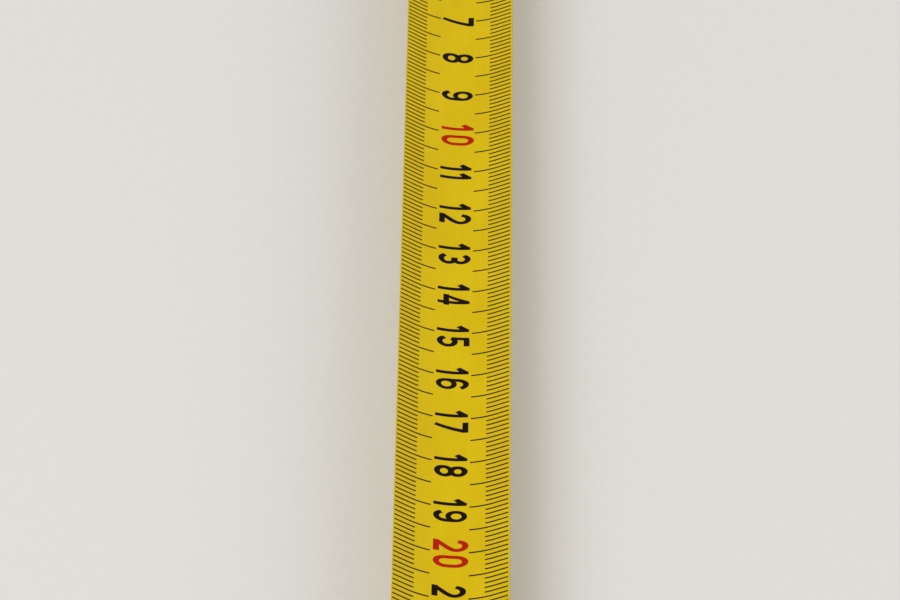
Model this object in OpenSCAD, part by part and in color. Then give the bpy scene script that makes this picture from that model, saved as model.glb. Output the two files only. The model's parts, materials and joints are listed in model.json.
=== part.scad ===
// Pocket tape measure: a dished steel blade that winds onto a sprung spool inside a moulded case.
// Millimetres. The case stands on z = 0, the blade pulls out along +X, and +Z is up.

/* [Blade] */
// Width of the steel blade, measured along its curve
blade_w = 19; // [16:0.5:22]
// Thickness of the blade with its paint
blade_t = 0.14; // [0.11:0.01:0.16]
// Length of the whole blade
blade_len = 5000; // [4000:250:5500]
// Scale reading at the mouth, with this much blade out
pulled_out = 310; // [150:10:400]
// Radius of the dished section on its underside
dish_r = 14.2; // [13:0.1:18]
// Height of the blade's underside above the table
blade_z = 9.3; // [9:0.1:11]
// Distance from one wound turn to the next
wind_pitch = 0.18; // [0.17:0.005:0.2]

/* [Spool] */
// Outer radius of the drum that the blade winds on
drum_r = 18.5; // [17:0.1:19.5]
// Wall of the drum
drum_wall = 1.2; // [0.8:0.1:1.6]
// Thickness of each side flange
flange_t = 1; // [0.8:0.1:1.4]
// How far the flanges stand out past the full coil
flange_lip = 0.8; // [0.4:0.1:1.2]
// Radius of the fixed centre post
post_r = 4; // [3.5:0.1:4.5]
// Thickness of the nylon washer beside each flange
washer_t = 0.4; // [0.3:0.05:0.6]

/* [Return spring] */
// Thickness of the spring strip
spring_t = 0.16; // [0.12:0.01:0.2]
// Turns of the spring between the post and the drum
spring_turns = 12; // [8:1:14]

/* [Case] */
// Thickness of the moulded walls
wall = 2.2; // [1.8:0.1:2.4]
// Thickness of the rubber grips
grip_t = 1.3; // [1:0.1:1.6]
// Rounding of the side edges
edge_r = 3.6; // [2.5:0.1:4]
// Free space around the spool
cavity_gap = 1; // [0.8:0.1:1.5]
// Distance from the spool's axis to the front face
nose_l = 39; // [38:0.5:42]
// Height of the upright front face
nose_h = 20; // [19:0.5:21]
// Slope of the lock's track from the horizontal
slope_angle = 70; // [69:0.5:72]
// Height of the bare foot below the rubber
foot_h = 3; // [2:0.5:5]
// Radius of the bare round panel on each side
panel_r = 20; // [18:0.5:21]
// Rubber left between the round panel and the bare slope
grip_bridge = 3; // [2:0.5:4]

/* [Screws] */
// Radius of the case screws
screw_r = 1.3; // [1.1:0.05:1.4]
// Radius of the screw heads
screw_head_r = 2.4; // [2:0.1:2.5]
// Height of the screw heads
screw_head_h = 1.6; // [1.2:0.1:1.8]
// Wall around each case screw
boss_wall = 1.6; // [1.2:0.1:1.7]

/* [Lock] */
// Width of the thumb button
button_w = 14; // [12:0.5:15]
// Length of the thumb button
button_l = 18; // [15:0.5:19]
// Height of the thumb button above the case
button_h = 3; // [2.5:0.1:4]
// Travel of the button from locked to free
lock_travel = 4.5; // [3.5:0.1:4.6]
// Width of the brake arm
arm_w = 7; // [5:0.5:8]
// Thickness of the brake arm
arm_t = 2.4; // [2:0.1:2.6]
// Length of the brake shoe along the blade
shoe_l = 4; // [3:0.1:4.2]

/* [End hook] */
// Thickness of the hook's sheet steel, which is also its free play
hook_t = 0.9; // [0.8:0.05:1.1]
// Drop of the hook below the blade
hook_drop = 8.4; // [7:0.1:8.5]
// Width of the hook
hook_w = 17; // [15:0.5:17.5]
// Length of the tongue over the blade
tongue_l = 13; // [12.5:0.1:13.5]
// Radius of the rivets
rivet_r = 1; // [0.8:0.05:1.1]
// Radius of the rivet heads
rivet_head_r = 1.8; // [1.6:0.1:2]
// Distance between the two rivets
rivet_step = 5.5; // [5:0.1:6]

/* [Mouth] */
// Length of the saddle that guides the blade
guide_l = 9; // [7:0.5:10]
// How far the rubber bumper stands out of the front face
bumper_out = 0.6; // [0.4:0.1:1]

/* [Belt clip] */
// Width of the clip strip
clip_w = 16; // [14:0.5:18]
// Thickness of the clip strip
clip_t = 1; // [0.8:0.1:1.2]
// Room for a belt behind the clip
clip_gap = 5.5; // [5:0.1:6.5]
// Height of the clip's lower end above the table
clip_low = 8; // [6:0.5:10]

/* [Fits] */
// Running clearance of the spool on its post, on the radius
run_gap = 0.05; // [0.02:0.01:0.1]
// Clearance between parts that are seated together
seat_gap = 0.1; // [0.05:0.01:0.2]
// Clearance between parts that slide past each other
slide_gap = 0.3; // [0.2:0.05:0.4]

/* [Hidden] */
$fn = 96;

// Blade and coil
blade_half = blade_w / 2;
dish_angle = blade_half / dish_r * 180 / PI;
chord_half = dish_r * sin(dish_angle);
dish_sag = dish_r * (1 - cos(dish_angle));
wound_len = blade_len - pulled_out - nose_l;
coil_r = sqrt(pow(drum_r, 2) + wound_len * wind_pitch / PI);
full_coil_r = sqrt(pow(drum_r, 2) + blade_len * wind_pitch / PI);
coil_turns = floor((coil_r - drum_r - blade_t) / wind_pitch);

// Spool
flange_r = full_coil_r + flange_lip;
flange_in = blade_half + slide_gap;
flange_out = flange_in + flange_t;
collar_h = 0.2;
collar_wall = 2.5;
collar_r = post_r + collar_wall;
washer_lip = 1;
drum_in_r = drum_r - drum_wall;
ring_t = 1;
ring_h = 1.2;
spring_w = 2 * (flange_in - ring_h - slide_gap);
slot_w = 0.8;

// Case
cavity_r = flange_r + cavity_gap;
cavity_half = flange_out + collar_h + washer_t + seat_gap;
shell_half = cavity_half + wall;
body_half = shell_half + grip_t;
skin_t = wall + grip_t;
back_l = cavity_r + skin_t;
case_l = back_l + nose_l;
front_x = case_l / 2;
back_x = -case_l / 2;
spool_x = back_x + back_l;
spool_z = blade_z + coil_r;
case_h = spool_z + cavity_r + skin_t;
ring_wall = 1.4;

// Side outline, as corners [x, z, radius] joined by straight lines, anticlockwise from the chin
slope_run = (case_h - nose_h) / tan(slope_angle);
CORNERS = [
    [front_x, 0, 5],
    [front_x, nose_h, 7],
    [front_x - slope_run, case_h, 11],
    [back_x, case_h, 15],
    [back_x, 0, 8]
];
CORNER_STEPS = 8;
EDGE_STEPS = 4;

// Case screws, as [x, z]
boss_r = screw_r + boss_wall;
boss_gap = 0.6;
screw_ring = cavity_r + boss_r + boss_gap;
nose_screw_in = 15.5;
nose_screw_sink = 0.7;
function screw_at(a) = [spool_x + screw_ring * cos(a), spool_z + screw_ring * sin(a)];
SCREWS = [
    screw_at(236),
    screw_at(135),
    screw_at(54),
    [front_x - nose_screw_in, wall + boss_r - nose_screw_sink]
];
screw_seat = shell_half - 1;
screw_end = shell_half - wall - 1;

// Bare nose: how deep it reaches behind the slope, and the chin's border, which rises at 45 degrees
slope_dist = nose_l * sin(slope_angle) - (spool_z - nose_h) * cos(slope_angle);
bare_depth = slope_dist - panel_r - grip_bridge;
chin_l = 26;
chin_rise = 11;

// Mouth
mouth_half = chord_half + 1;
mouth_low = blade_z - 1.3;
mouth_high = blade_z + dish_sag + 2.2;
bumper_half = 7;
bumper_low = 2.2;
bumper_high = blade_z - 2.4;
bumper_depth = 2.5;
guide_front = front_x - bumper_depth - 0.8;
guide_back = guide_front - guide_l;
guide_low = blade_z - 3;
guide_high = blade_z + 2;

// Lock, in the frame of its track: x runs down the slope, z stands out of it
LOCK_UP = 15.5;
track = [cos(slope_angle), -sin(slope_angle)];
outward = [sin(slope_angle), cos(slope_angle)];
lock_at = [front_x, nose_h] - track * LOCK_UP;
plate_t = 1.5;
plate_half = button_l / 2 - 2;
neck_half = 4;
neck_w = arm_w;
plate_top = wall + slide_gap / 2;
plate_low = plate_top + plate_t;
arm_room = 3.2;
shoe_room = 2.5;
arm_top = lock_at + track * (plate_half - 0.2) - outward * (plate_low - 0.2);
shoe_x = guide_back - 1.3 - shoe_l / 2;
shoe_z = blade_z + blade_t + 0.05;
shoe_h = 2.4;
arm_low = [shoe_x, shoe_z + shoe_h];
shoe_rise = 8;
arm_foot = 4;
arm_bend = [shoe_x + 0.6, nose_h + 10];
ARM_R = 21.5;
arm_mid = (arm_top + arm_low) / 2;
arm_span = norm(arm_top - arm_low);
arm_lift = sqrt(pow(ARM_R, 2) - pow(arm_span / 2, 2));
arm_dir = (arm_top - arm_low) / arm_span;
arm_centre = arm_mid + arm_lift * [-arm_dir.y, arm_dir.x];

// Dished stretch of the blade
dish_z = blade_z + dish_r;
dish_full_x = guide_back;
zero_x = front_x + pulled_out;
tip_x = zero_x - hook_t - seat_gap;
RIVETS = [zero_x - hook_t - 3.2, zero_x - hook_t - 3.2 - rivet_step];
tongue_under = dish_r - blade_t - 0.03;
tongue_over = tongue_under - hook_t;

// Belt clip, seated on the left panel
clip_x = spool_x;
clip_seat = 0.9;
clip_pad_half = 4.5;
clip_seat_lip = 0.5;
clip_pad_z = spool_z + panel_r - clip_pad_half - 1;
clip_face = shell_half + clip_seat;
clip_out = body_half + clip_gap;
clip_screw_r = 1.5;
insert_r = 2.3;

// ---------------------------------------------------------------- helpers

// Spans y0 to y1 with a flat shape drawn in x and z.
module along_y(y0, y1) {
    translate([0, y1, 0]) rotate([90, 0, 0]) linear_extrude(y1 - y0) children();
}

module y_cylinder(at, r, y0, y1) {
    translate([at.x, y1, at.y]) rotate([90, 0, 0]) cylinder(r = r, h = y1 - y0);
}

module lock_frame() {
    translate([lock_at.x, 0, lock_at.y]) rotate([0, slope_angle, 0]) children();
}

module box(low, high) {
    translate(low) cube(high - low);
}

function unit(v) = v / norm(v);
function turn90(v) = [-v.y, v.x];

// Centre of the rounding at corner i of the side outline.
function round_centre(i) =
    let (n = len(CORNERS), c = CORNERS[i], p = CORNERS[(i + n - 1) % n], q = CORNERS[(i + 1) % n],
         from = unit([c.x - p.x, c.y - p.y]), to = unit([q.x - c.x, q.y - c.y]),
         half = acos(from * to) / 2)
    [c.x, c.y] + c[2] / cos(half) * unit(turn90(from) + turn90(to));

// Outline of the side view, grown by g.
function outline(g) = [
    for (i = [0 : len(CORNERS) - 1])
        let (n = len(CORNERS), c = CORNERS[i], p = CORNERS[(i + n - 1) % n], q = CORNERS[(i + 1) % n],
             from = unit([c.x - p.x, c.y - p.y]), to = unit([q.x - c.x, q.y - c.y]),
             start = atan2(from.y, from.x) - 90, sweep = acos(from * to), m = round_centre(i))
        for (k = [0 : CORNER_STEPS])
            m + (c[2] + g) * [cos(start + sweep * k / CORNER_STEPS), sin(start + sweep * k / CORNER_STEPS)]
];

// Left half of the rounded body, grown by g from the full size.
module half_skin(g) {
    half_w = body_half + g;
    hull() {
        along_y(0, half_w - edge_r) polygon(outline(g));
        for (k = [1 : EDGE_STEPS]) {
            a = 90 * k / EDGE_STEPS;
            along_y(half_w - edge_r, half_w - edge_r * (1 - sin(a)))
                polygon(outline(g - edge_r * (1 - cos(a))));
        }
    }
}

// Side view of what stays bare of rubber: nose, lock track and foot.
module bare_region() {
    beyond = 20;
    rise = case_h - nose_h + beyond;
    run = rise / tan(slope_angle);
    back = bare_depth / sin(slope_angle);
    polygon([
        [front_x + beyond, -beyond],
        [back_x - beyond, -beyond],
        [back_x - beyond, foot_h],
        [front_x - chin_l, foot_h],
        [front_x - chin_l + chin_rise, foot_h + chin_rise],
        [front_x - back, nose_h],
        [front_x - back - run, nose_h + rise],
        [front_x + beyond, nose_h + rise]
    ]);
}

// Strip wound anticlockwise from the middle out, its outer end at the bottom, made of half turns.
module wound_strip(outer_r, pitch, turns, t) {
    for (k = [0 : turns - 1]) {
        half_turn(outer_r - k * pitch, t, -1, 0);
        half_turn(outer_r - (k + 0.5) * pitch, t, 1, pitch / 2);
    }
}

module half_turn(r, t, side, shift) {
    translate([0, shift]) intersection() {
        difference() {
            circle(r);
            circle(r - t);
        }
        translate([side > 0 ? 0 : -2 * r, -2 * r]) square([2 * r, 4 * r]);
    }
}

// ---------------------------------------------------------------- case

// Hollow of one half, with its ring wall, bosses and ribs left standing.
module half_hollow() {
    difference() {
        along_y(-1, cavity_half) polygon(outline(-skin_t));
        difference() {
            union() {
                y_cylinder([spool_x, spool_z], cavity_r + ring_wall, -2, cavity_half + 1);
                for (s = SCREWS) y_cylinder(s, boss_r, -2, cavity_half + 1);
                box([guide_back - 2, blade_half + slide_gap + 0.2, 0], [front_x, cavity_half + 1, nose_h]);
                box([shoe_x - shoe_l, -2, 0], [front_x, cavity_half + 1, blade_z - seat_gap]);
            }
            y_cylinder([spool_x, spool_z], cavity_r, -3, cavity_half + 2);
            blade_way();
            lock_way();
        }
    }
}

// Room for the blade from the coil to the front wall.
module blade_way() {
    box([spool_x, -blade_half - slide_gap, blade_z - seat_gap],
        [front_x - skin_t + 0.01, blade_half + slide_gap, mouth_high]);
}

// Room for the lock's plate, which slides against the inside of the wall.
module plate_way() {
    half = button_w / 2 + slide_gap;
    lock_frame() box([-plate_half - lock_travel - slide_gap, -half, -plate_low - arm_room],
                     [plate_half + arm_t, half, -wall]);
}

// Room for the lock's plate and arm.
module lock_way() {
    half = button_w / 2 + slide_gap;
    plate_way();
    along_y(-half, half) polygon([
        [shoe_x - shoe_l / 2 - shoe_room, blade_z],
        [shoe_x - shoe_l / 2 - shoe_room, blade_z + shoe_rise],
        arm_bend,
        arm_top + track * arm_foot,
        [front_x - skin_t, nose_h],
        [front_x - skin_t, blade_z]
    ]);
}

// Openings through the skin of one half: mouth, lock slot, guide seat and bumper seat.
module half_openings() {
    box([guide_back, -1, mouth_low], [front_x + 1, mouth_half, mouth_high]);
    plate_way();
    lock_frame() box([-neck_half - lock_travel - slide_gap, -1, -wall - 1],
                     [neck_half + slide_gap, neck_w / 2 + slide_gap, 1]);
    box([guide_back, -1, guide_low], [guide_front, blade_half + slide_gap, guide_high]);
    box([front_x - bumper_depth - seat_gap, -1, bumper_low - seat_gap],
        [front_x + 1, bumper_half + seat_gap, bumper_high + seat_gap]);
}

module case_half() {
    difference() {
        union() {
            half_skin(-grip_t);
            intersection() {
                half_skin(0);
                along_y(-1, body_half + 1) bare_region();
            }
        }
        half_hollow();
        half_openings();
        post_socket();
    }
}

// Square seat that keeps the centre post from turning.
module post_socket() {
    half = post_square() / 2 + seat_gap;
    box([spool_x - half, cavity_half - 1, spool_z - half],
        [spool_x + half, cavity_half + wall / 2, spool_z + half]);
}

function post_square() = 1.3 * post_r;

// Raised seat for the belt clip, grown by g.
module clip_seat_block(g, y0, y1) {
    half_w = clip_w / 2 + 2 * clip_seat_lip + g;
    half_h = clip_pad_half + clip_seat_lip + g;
    box([clip_x - half_w, y0, clip_pad_z - half_h], [clip_x + half_w, y1, clip_pad_z + half_h]);
}

module case_left() {
    color("slategray") difference() {
        union() {
            case_half();
            clip_seat_block(0, shell_half - 1, clip_face);
        }
        for (s = SCREWS) y_cylinder(s, screw_r + run_gap, -1, screw_end);
        y_cylinder([clip_x, clip_pad_z], insert_r, cavity_half - 1, clip_face + 1);
    }
}

module case_right() {
    color("slategray") difference() {
        mirror([0, 1, 0]) case_half();
        for (s = SCREWS) {
            y_cylinder(s, screw_r + seat_gap, -shell_half - 5, 1);
            y_cylinder(s, screw_head_r + seat_gap, -shell_half - 5, -screw_seat + screw_head_h);
        }
    }
}

// ---------------------------------------------------------------- rubber grips

module half_grip() {
    difference() {
        half_skin(0);
        half_skin(-grip_t);
        along_y(-1, body_half + 1) bare_region();
        y_cylinder([spool_x, spool_z], panel_r, -1, body_half + 1);
        grip_grooves();
        side_grooves();
    }
}

// Grooves across the back and the top, where the palm lies.
module grip_grooves() {
    step = 4;
    depth = 0.6;
    for (z = [foot_h + 9 : step : case_h - 17])
        y_cylinder([back_x + depth - 1, z], 1, -1, body_half + 1);
    for (x = [back_x + 17 : step : front_x - slope_run - 16])
        y_cylinder([x, case_h - depth + 1], 1, -1, body_half + 1);
    for (a = [15 : 15 : 75])
        y_cylinder(round_centre(3) + (CORNERS[3][2] - depth + 1) * [cos(90 + a), sin(90 + a)],
                   1, -1, body_half + 1);
}

// Rings cut in the side face around the bare panel.
module side_grooves() {
    for (r = [panel_r + 1.6, panel_r + 3.6]) {
        difference() {
            y_cylinder([spool_x, spool_z], r + 0.8, body_half - 0.5, body_half + 1);
            y_cylinder([spool_x, spool_z], r, body_half - 1, body_half + 2);
        }
    }
}

module grip_left() {
    color("#26282b") difference() {
        half_grip();
        clip_seat_block(seat_gap, shell_half - 1, body_half + 1);
    }
}

module grip_right() {
    color("#26282b") difference() {
        mirror([0, 1, 0]) half_grip();
        for (s = SCREWS) y_cylinder(s, screw_head_r + seat_gap, -body_half - 1, 0);
    }
}

module case_screws() {
    color("silver") for (s = SCREWS) {
        difference() {
            union() {
                y_cylinder(s, screw_r, -screw_seat + screw_head_h - 0.5, screw_end - 0.5);
                y_cylinder(s, screw_head_r, -screw_seat, -screw_seat + screw_head_h);
            }
            for (a = [0, 90]) translate([s.x, -screw_seat, s.y]) rotate([0, a, 0])
                cube([0.6, 2, 2.8], center = true);
        }
    }
}

// ---------------------------------------------------------------- spool

module on_axle() {
    translate([spool_x, 0, spool_z]) rotate([90, 0, 0]) children();
}

// Round post with square ends, slotted for the spring's inner end.
module centre_post() {
    half = post_square() / 2;
    end = cavity_half + wall / 2 - seat_gap;
    slot_half = spring_w / 2 + seat_gap;
    color("gainsboro") difference() {
        union() {
            y_cylinder([spool_x, spool_z], post_r, -cavity_half + 0.02, cavity_half - 0.02);
            box([spool_x - half, -end, spool_z - half], [spool_x + half, end, spool_z + half]);
        }
        box([spool_x - slot_w / 2, -slot_half, spool_z - post_r - 1],
            [spool_x + slot_w / 2, slot_half, spool_z + 1.5]);
    }
}

// Drum with its left flange. Sections are drawn as radius and distance from the middle.
module spool_drum() {
    bore = post_r + run_gap;
    color("khaki") difference() {
        on_axle() rotate_extrude() polygon([
            [bore, -flange_out - collar_h],
            [collar_r, -flange_out - collar_h],
            [collar_r, -flange_out],
            [flange_r, -flange_out],
            [flange_r, -flange_in],
            [drum_r, -flange_in],
            [drum_r, flange_in],
            [drum_in_r, flange_in],
            [drum_in_r, -flange_in],
            [collar_r, -flange_in],
            [collar_r, -flange_in + ring_h],
            [bore, -flange_in + ring_h]
        ]);
        drum_slot();
    }
}

// Slot where the blade's tail meets the spring's outer end.
module drum_slot() {
    box([spool_x - slot_w / 2, -blade_half, spool_z - drum_r - 0.5],
        [spool_x + slot_w / 2, blade_half, spool_z - drum_in_r + 0.5]);
}

// Right flange, which closes the drum over the spring.
module spool_cover() {
    bore = post_r + run_gap;
    ring_r = drum_in_r - seat_gap;
    color("wheat") on_axle() rotate_extrude() polygon([
        [bore, flange_in - ring_h],
        [collar_r, flange_in - ring_h],
        [collar_r, flange_in + 0.02],
        [ring_r - ring_t, flange_in + 0.02],
        [ring_r - ring_t, flange_in - ring_h],
        [ring_r, flange_in - ring_h],
        [ring_r, flange_in + 0.02],
        [flange_r, flange_in + 0.02],
        [flange_r, flange_out],
        [collar_r, flange_out],
        [collar_r, flange_out + collar_h],
        [bore, flange_out + collar_h]
    ]);
}

module spool_washers() {
    low = flange_out + collar_h + seat_gap / 2;
    color("white") for (side = [-1, 1]) {
        on_axle() translate([0, 0, side * (low + washer_t / 2)]) difference() {
            cylinder(r = collar_r + washer_lip, h = washer_t, center = true);
            cylinder(r = post_r + seat_gap, h = washer_t + 1, center = true);
        }
    }
}

// Flat spiral spring from the slot in the post to the slot in the drum.
module return_spring() {
    outer_r = drum_in_r - seat_gap;
    inner_r = post_r + 1;
    pitch = 0.02 * floor((outer_r - inner_r) / spring_turns / 0.02);
    half = spring_w / 2;
    end_r = outer_r - spring_turns * pitch;
    color("dimgray") translate([spool_x, 0, spool_z]) along_y(-half, half) {
        wound_strip(outer_r, pitch, spring_turns, spring_t);
        translate([0, -end_r + spring_t / 2]) square([spring_t, end_r + 0.5]);
        translate([0, -outer_r - drum_wall / 2]) square([spring_t, drum_wall / 2 + spring_t]);
    }
}

// ---------------------------------------------------------------- blade

// Blade that is still wound on the drum, with its tail through the drum's slot.
module blade_coil() {
    tail_r = coil_r - coil_turns * wind_pitch;
    color("gold") translate([spool_x, 0, spool_z]) along_y(-blade_half, blade_half) {
        wound_strip(coil_r, wind_pitch, coil_turns, blade_t);
        translate([-blade_t, -tail_r]) square([blade_t, tail_r - drum_in_r]);
    }
}

// How far the section at x has opened from flat to its full dish, from 0 to 1.
function dished(x) =
    let (u = min(max((x - spool_x) / (dish_full_x - spool_x), 0.02), 1))
    u * u * (3 - 2 * u);

// Section at x: its underside from right to left, then its top face back.
function blade_section(x) =
    let (r = dish_r / dished(x), n = 16)
    concat(
        [for (i = [0 : n]) let (a = blade_w * (i / n - 0.5) / r * 180 / PI)
            [x, r * sin(a), blade_z + r * (1 - cos(a))]],
        [for (i = [n : -1 : 0]) let (a = blade_w * (i / n - 0.5) / r * 180 / PI)
            [x, (r - blade_t) * sin(a), blade_z + r - (r - blade_t) * cos(a)]]
    );

// Closed skin over a row of sections with equal counts of points.
module loft(sections) {
    n = len(sections[0]);
    m = len(sections);
    polyhedron(
        points = [for (s = sections) each s],
        faces = concat(
            [for (j = [0 : m - 2], i = [0 : n - 1])
                each [
                    [j * n + i, (j + 1) * n + i, (j + 1) * n + (i + 1) % n],
                    [j * n + i, (j + 1) * n + (i + 1) % n, j * n + (i + 1) % n]
                ]],
            [for (i = [0 : n / 2 - 2]) each [
                [i, i + 1, n - 2 - i],
                [i, n - 2 - i, n - 1 - i]
            ]],
            [for (i = [0 : n / 2 - 2]) each [
                [(m - 1) * n + i, (m - 1) * n + n - 2 - i, (m - 1) * n + i + 1],
                [(m - 1) * n + i, (m - 1) * n + n - 1 - i, (m - 1) * n + n - 2 - i]
            ]]
        )
    );
}

// Blade from the coil to its tip: flat where it leaves the coil, dished from the mouth on.
module blade() {
    rings = 12;
    stations = concat(
        [for (i = [0 : rings]) spool_x + (dish_full_x - spool_x) * i / rings],
        [tip_x]
    );
    color("gold") difference() {
        loft([for (x = stations) blade_section(x)]);
        for (x = RIVETS) translate([x, 0, blade_z - 1]) cylinder(r = rivet_r + run_gap, h = 3);
        for (side = [-1, 1]) translate([tip_x, side * chord_half, blade_z - 1])
            rotate([0, 0, 45]) cube([3, 3, 12], center = true);
    }
}

// ---------------------------------------------------------------- end hook

// Plan of the tongue: as wide as the hook in front, narrower behind.
module tongue_plan() {
    polygon([
        [zero_x + hook_t, -hook_w / 2],
        [zero_x + hook_t, hook_w / 2],
        [zero_x - 1.5, hook_w / 2],
        [zero_x - 4, hook_w / 2 - 1.5],
        [zero_x - tongue_l + 1.5, hook_w / 2 - 4],
        [zero_x - tongue_l, hook_w / 2 - 5.5],
        [zero_x - tongue_l, -hook_w / 2 + 5.5],
        [zero_x - tongue_l + 1.5, -hook_w / 2 + 4],
        [zero_x - 4, -hook_w / 2 + 1.5],
        [zero_x - 1.5, -hook_w / 2]
    ]);
}

module dish_cylinder(r, x0, x1) {
    translate([x0, 0, dish_z]) rotate([0, 90, 0]) cylinder(r = r, h = x1 - x0);
}

// Steel hook: a tongue dished like the blade and a leg that hangs at the zero of the scale.
module end_hook() {
    leg_low = blade_z - hook_drop;
    leg_r = 2;
    color("lightsteelblue") difference() {
        union() {
            intersection() {
                difference() {
                    dish_cylinder(tongue_under, zero_x - tongue_l, zero_x + hook_t);
                    dish_cylinder(tongue_over, zero_x - tongue_l - 1, zero_x + hook_t + 1);
                }
                translate([0, 0, blade_z - 1]) linear_extrude(7) tongue_plan();
            }
            difference() {
                union() {
                    box([zero_x, -hook_w / 2, leg_low + leg_r], [zero_x + hook_t, hook_w / 2, blade_z + 4]);
                    box([zero_x, -hook_w / 2 + leg_r, leg_low],
                        [zero_x + hook_t, hook_w / 2 - leg_r, blade_z]);
                    for (side = [-1, 1]) translate([zero_x, side * (hook_w / 2 - leg_r), leg_low + leg_r])
                        rotate([0, 90, 0]) cylinder(r = leg_r, h = hook_t);
                }
                dish_cylinder(tongue_over, zero_x - 1, zero_x + hook_t + 1);
                translate([0, 0, blade_z + 4 - 1]) box([zero_x - 1, -20, 0.2], [zero_x + 2, 20, 5]);
            }
        }
        for (x = RIVETS) rivet_slot(x);
        nail_slot();
    }
}

// Slot that lets the hook move by its own thickness on a rivet.
module rivet_slot(x) {
    r = rivet_r + run_gap;
    translate([0, 0, blade_z - 1]) {
        translate([x, 0, 0]) cylinder(r = r, h = 5);
        translate([x + hook_t, 0, 0]) cylinder(r = r, h = 5);
        translate([x, -r, 0]) cube([hook_t, 2 * r, 5]);
    }
}

// Slot in the leg that grips a nail's head.
module nail_slot() {
    r = 1;
    low = blade_z - hook_drop + 2.4;
    high = low + 2.2;
    for (z = [low, high]) translate([zero_x - 1, 0, z]) rotate([0, 90, 0]) cylinder(r = r, h = hook_t + 2);
    box([zero_x - 1, -r, low], [zero_x + hook_t + 1, r, high]);
}

module hook_rivets() {
    top = dish_z - tongue_over + 0.03;
    head_h = 0.7;
    color("silver") for (x = RIVETS) {
        translate([x, 0, blade_z - 0.3]) cylinder(r = rivet_r, h = top - blade_z + 0.6);
        translate([x, 0, blade_z - 0.02 - 0.6]) cylinder(r = rivet_head_r - 0.2, h = 0.6);
        intersection() {
            translate([x, 0, top + head_h - 2.6]) sphere(r = 2.6);
            translate([x, 0, top - 1]) cylinder(r = rivet_head_r, h = 3);
            dish_cylinder(tongue_over - 0.03, x - 3, x + 3);
        }
    }
}

// ---------------------------------------------------------------- lock

// Thumb button on its track, with the neck through the case, the plate behind it and the brake arm.
module lock_button() {
    hollow_r = 13;
    color("firebrick") difference() {
        union() {
            lock_frame() {
                button_cap();
                box([-neck_half, -neck_w / 2, -plate_top - 0.5], [neck_half, neck_w / 2, slide_gap + 0.5]);
                box([-plate_half, -button_w / 2, -plate_low], [plate_half, button_w / 2, -plate_top]);
            }
            brake_arm();
        }
        lock_frame() translate([0, 0, button_h + hollow_r - 1]) {
            y_cylinder([0, 0], hollow_r, -button_w, button_w);
            for (a = [-20 : 10 : 20]) y_cylinder(hollow_r * [sin(a), -cos(a)], 0.6, -button_w, button_w);
        }
    }
}

module button_cap() {
    half = button_l / 2;
    r = 2.2;
    hull() for (x = [-half + r, half - r], y = [-button_w / 2 + r, button_w / 2 - r])
        translate([x, y, slide_gap]) {
            cylinder(r = r, h = button_h - slide_gap - 1, $fn = 32);
            translate([0, 0, button_h - slide_gap - 1]) cylinder(r1 = r, r2 = r - 0.8, h = 1, $fn = 32);
        }
}

// Curved arm that reaches around the coil to the blade.
module brake_arm() {
    foot_z = arm_low.y - 0.4;
    a0 = atan2(arm_low.y - arm_centre.y, arm_low.x - arm_centre.x);
    a1 = atan2(arm_top.y - arm_centre.y, arm_top.x - arm_centre.x);
    reach = 2 * ARM_R;
    intersection() {
        difference() {
            y_cylinder(arm_centre, ARM_R + arm_t / 2, -arm_w / 2, arm_w / 2);
            y_cylinder(arm_centre, ARM_R - arm_t / 2, -arm_w, arm_w);
        }
        along_y(-arm_w, arm_w) polygon([
            arm_centre,
            arm_centre + reach * [cos(a0), sin(a0)],
            arm_centre + reach * [cos((a0 + a1) / 2), sin((a0 + a1) / 2)],
            arm_centre + reach * [cos(a1), sin(a1)]
        ]);
        box([0, -arm_w, foot_z], [front_x, arm_w, case_h]);
    }
    box([shoe_x - shoe_l / 2, -arm_w / 2, foot_z], [shoe_x + shoe_l / 2, arm_w / 2, foot_z + 1.4]);
}

// Rubber shoe on the arm's end, rounded to lie in the dish of the blade.
module lock_shoe() {
    saddle_r = 11;
    color("#303236") intersection() {
        box([shoe_x - shoe_l / 2, -arm_w / 2, shoe_z], [shoe_x + shoe_l / 2, arm_w / 2, arm_low.y - 0.4]);
        translate([shoe_x - shoe_l, 0, shoe_z + saddle_r]) rotate([0, 90, 0])
            cylinder(r = saddle_r, h = 2 * shoe_l);
    }
}

// ---------------------------------------------------------------- mouth

// Nylon saddle under the blade at the mouth, with a groove for the rivets.
module blade_guide() {
    saddle_r = dish_r + seat_gap;
    color("whitesmoke") difference() {
        box([guide_back + seat_gap, -blade_half - slide_gap + seat_gap, guide_low + seat_gap],
            [guide_front - seat_gap, blade_half + slide_gap - seat_gap, guide_high - seat_gap]);
        dish_cylinder(saddle_r, guide_back - 1, guide_front + 1);
        box([guide_back - 1, -rivet_head_r - slide_gap, blade_z - 1.2],
            [front_x, rivet_head_r + slide_gap, blade_z + 3]);
    }
}

// Rubber bumper that stops the hook.
module hook_bumper() {
    r = 1;
    x0 = front_x - bumper_depth;
    x1 = front_x + bumper_out;
    color("#202124") {
        box([x0, -bumper_half + r, bumper_low], [x1, bumper_half - r, bumper_high]);
        box([x0, -bumper_half, bumper_low + r], [x1, bumper_half, bumper_high - r]);
        for (y = [-bumper_half + r, bumper_half - r], z = [bumper_low + r, bumper_high - r])
            translate([x0, y, z]) rotate([0, 90, 0]) cylinder(r = r, h = x1 - x0);
    }
}

// ---------------------------------------------------------------- belt clip

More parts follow.
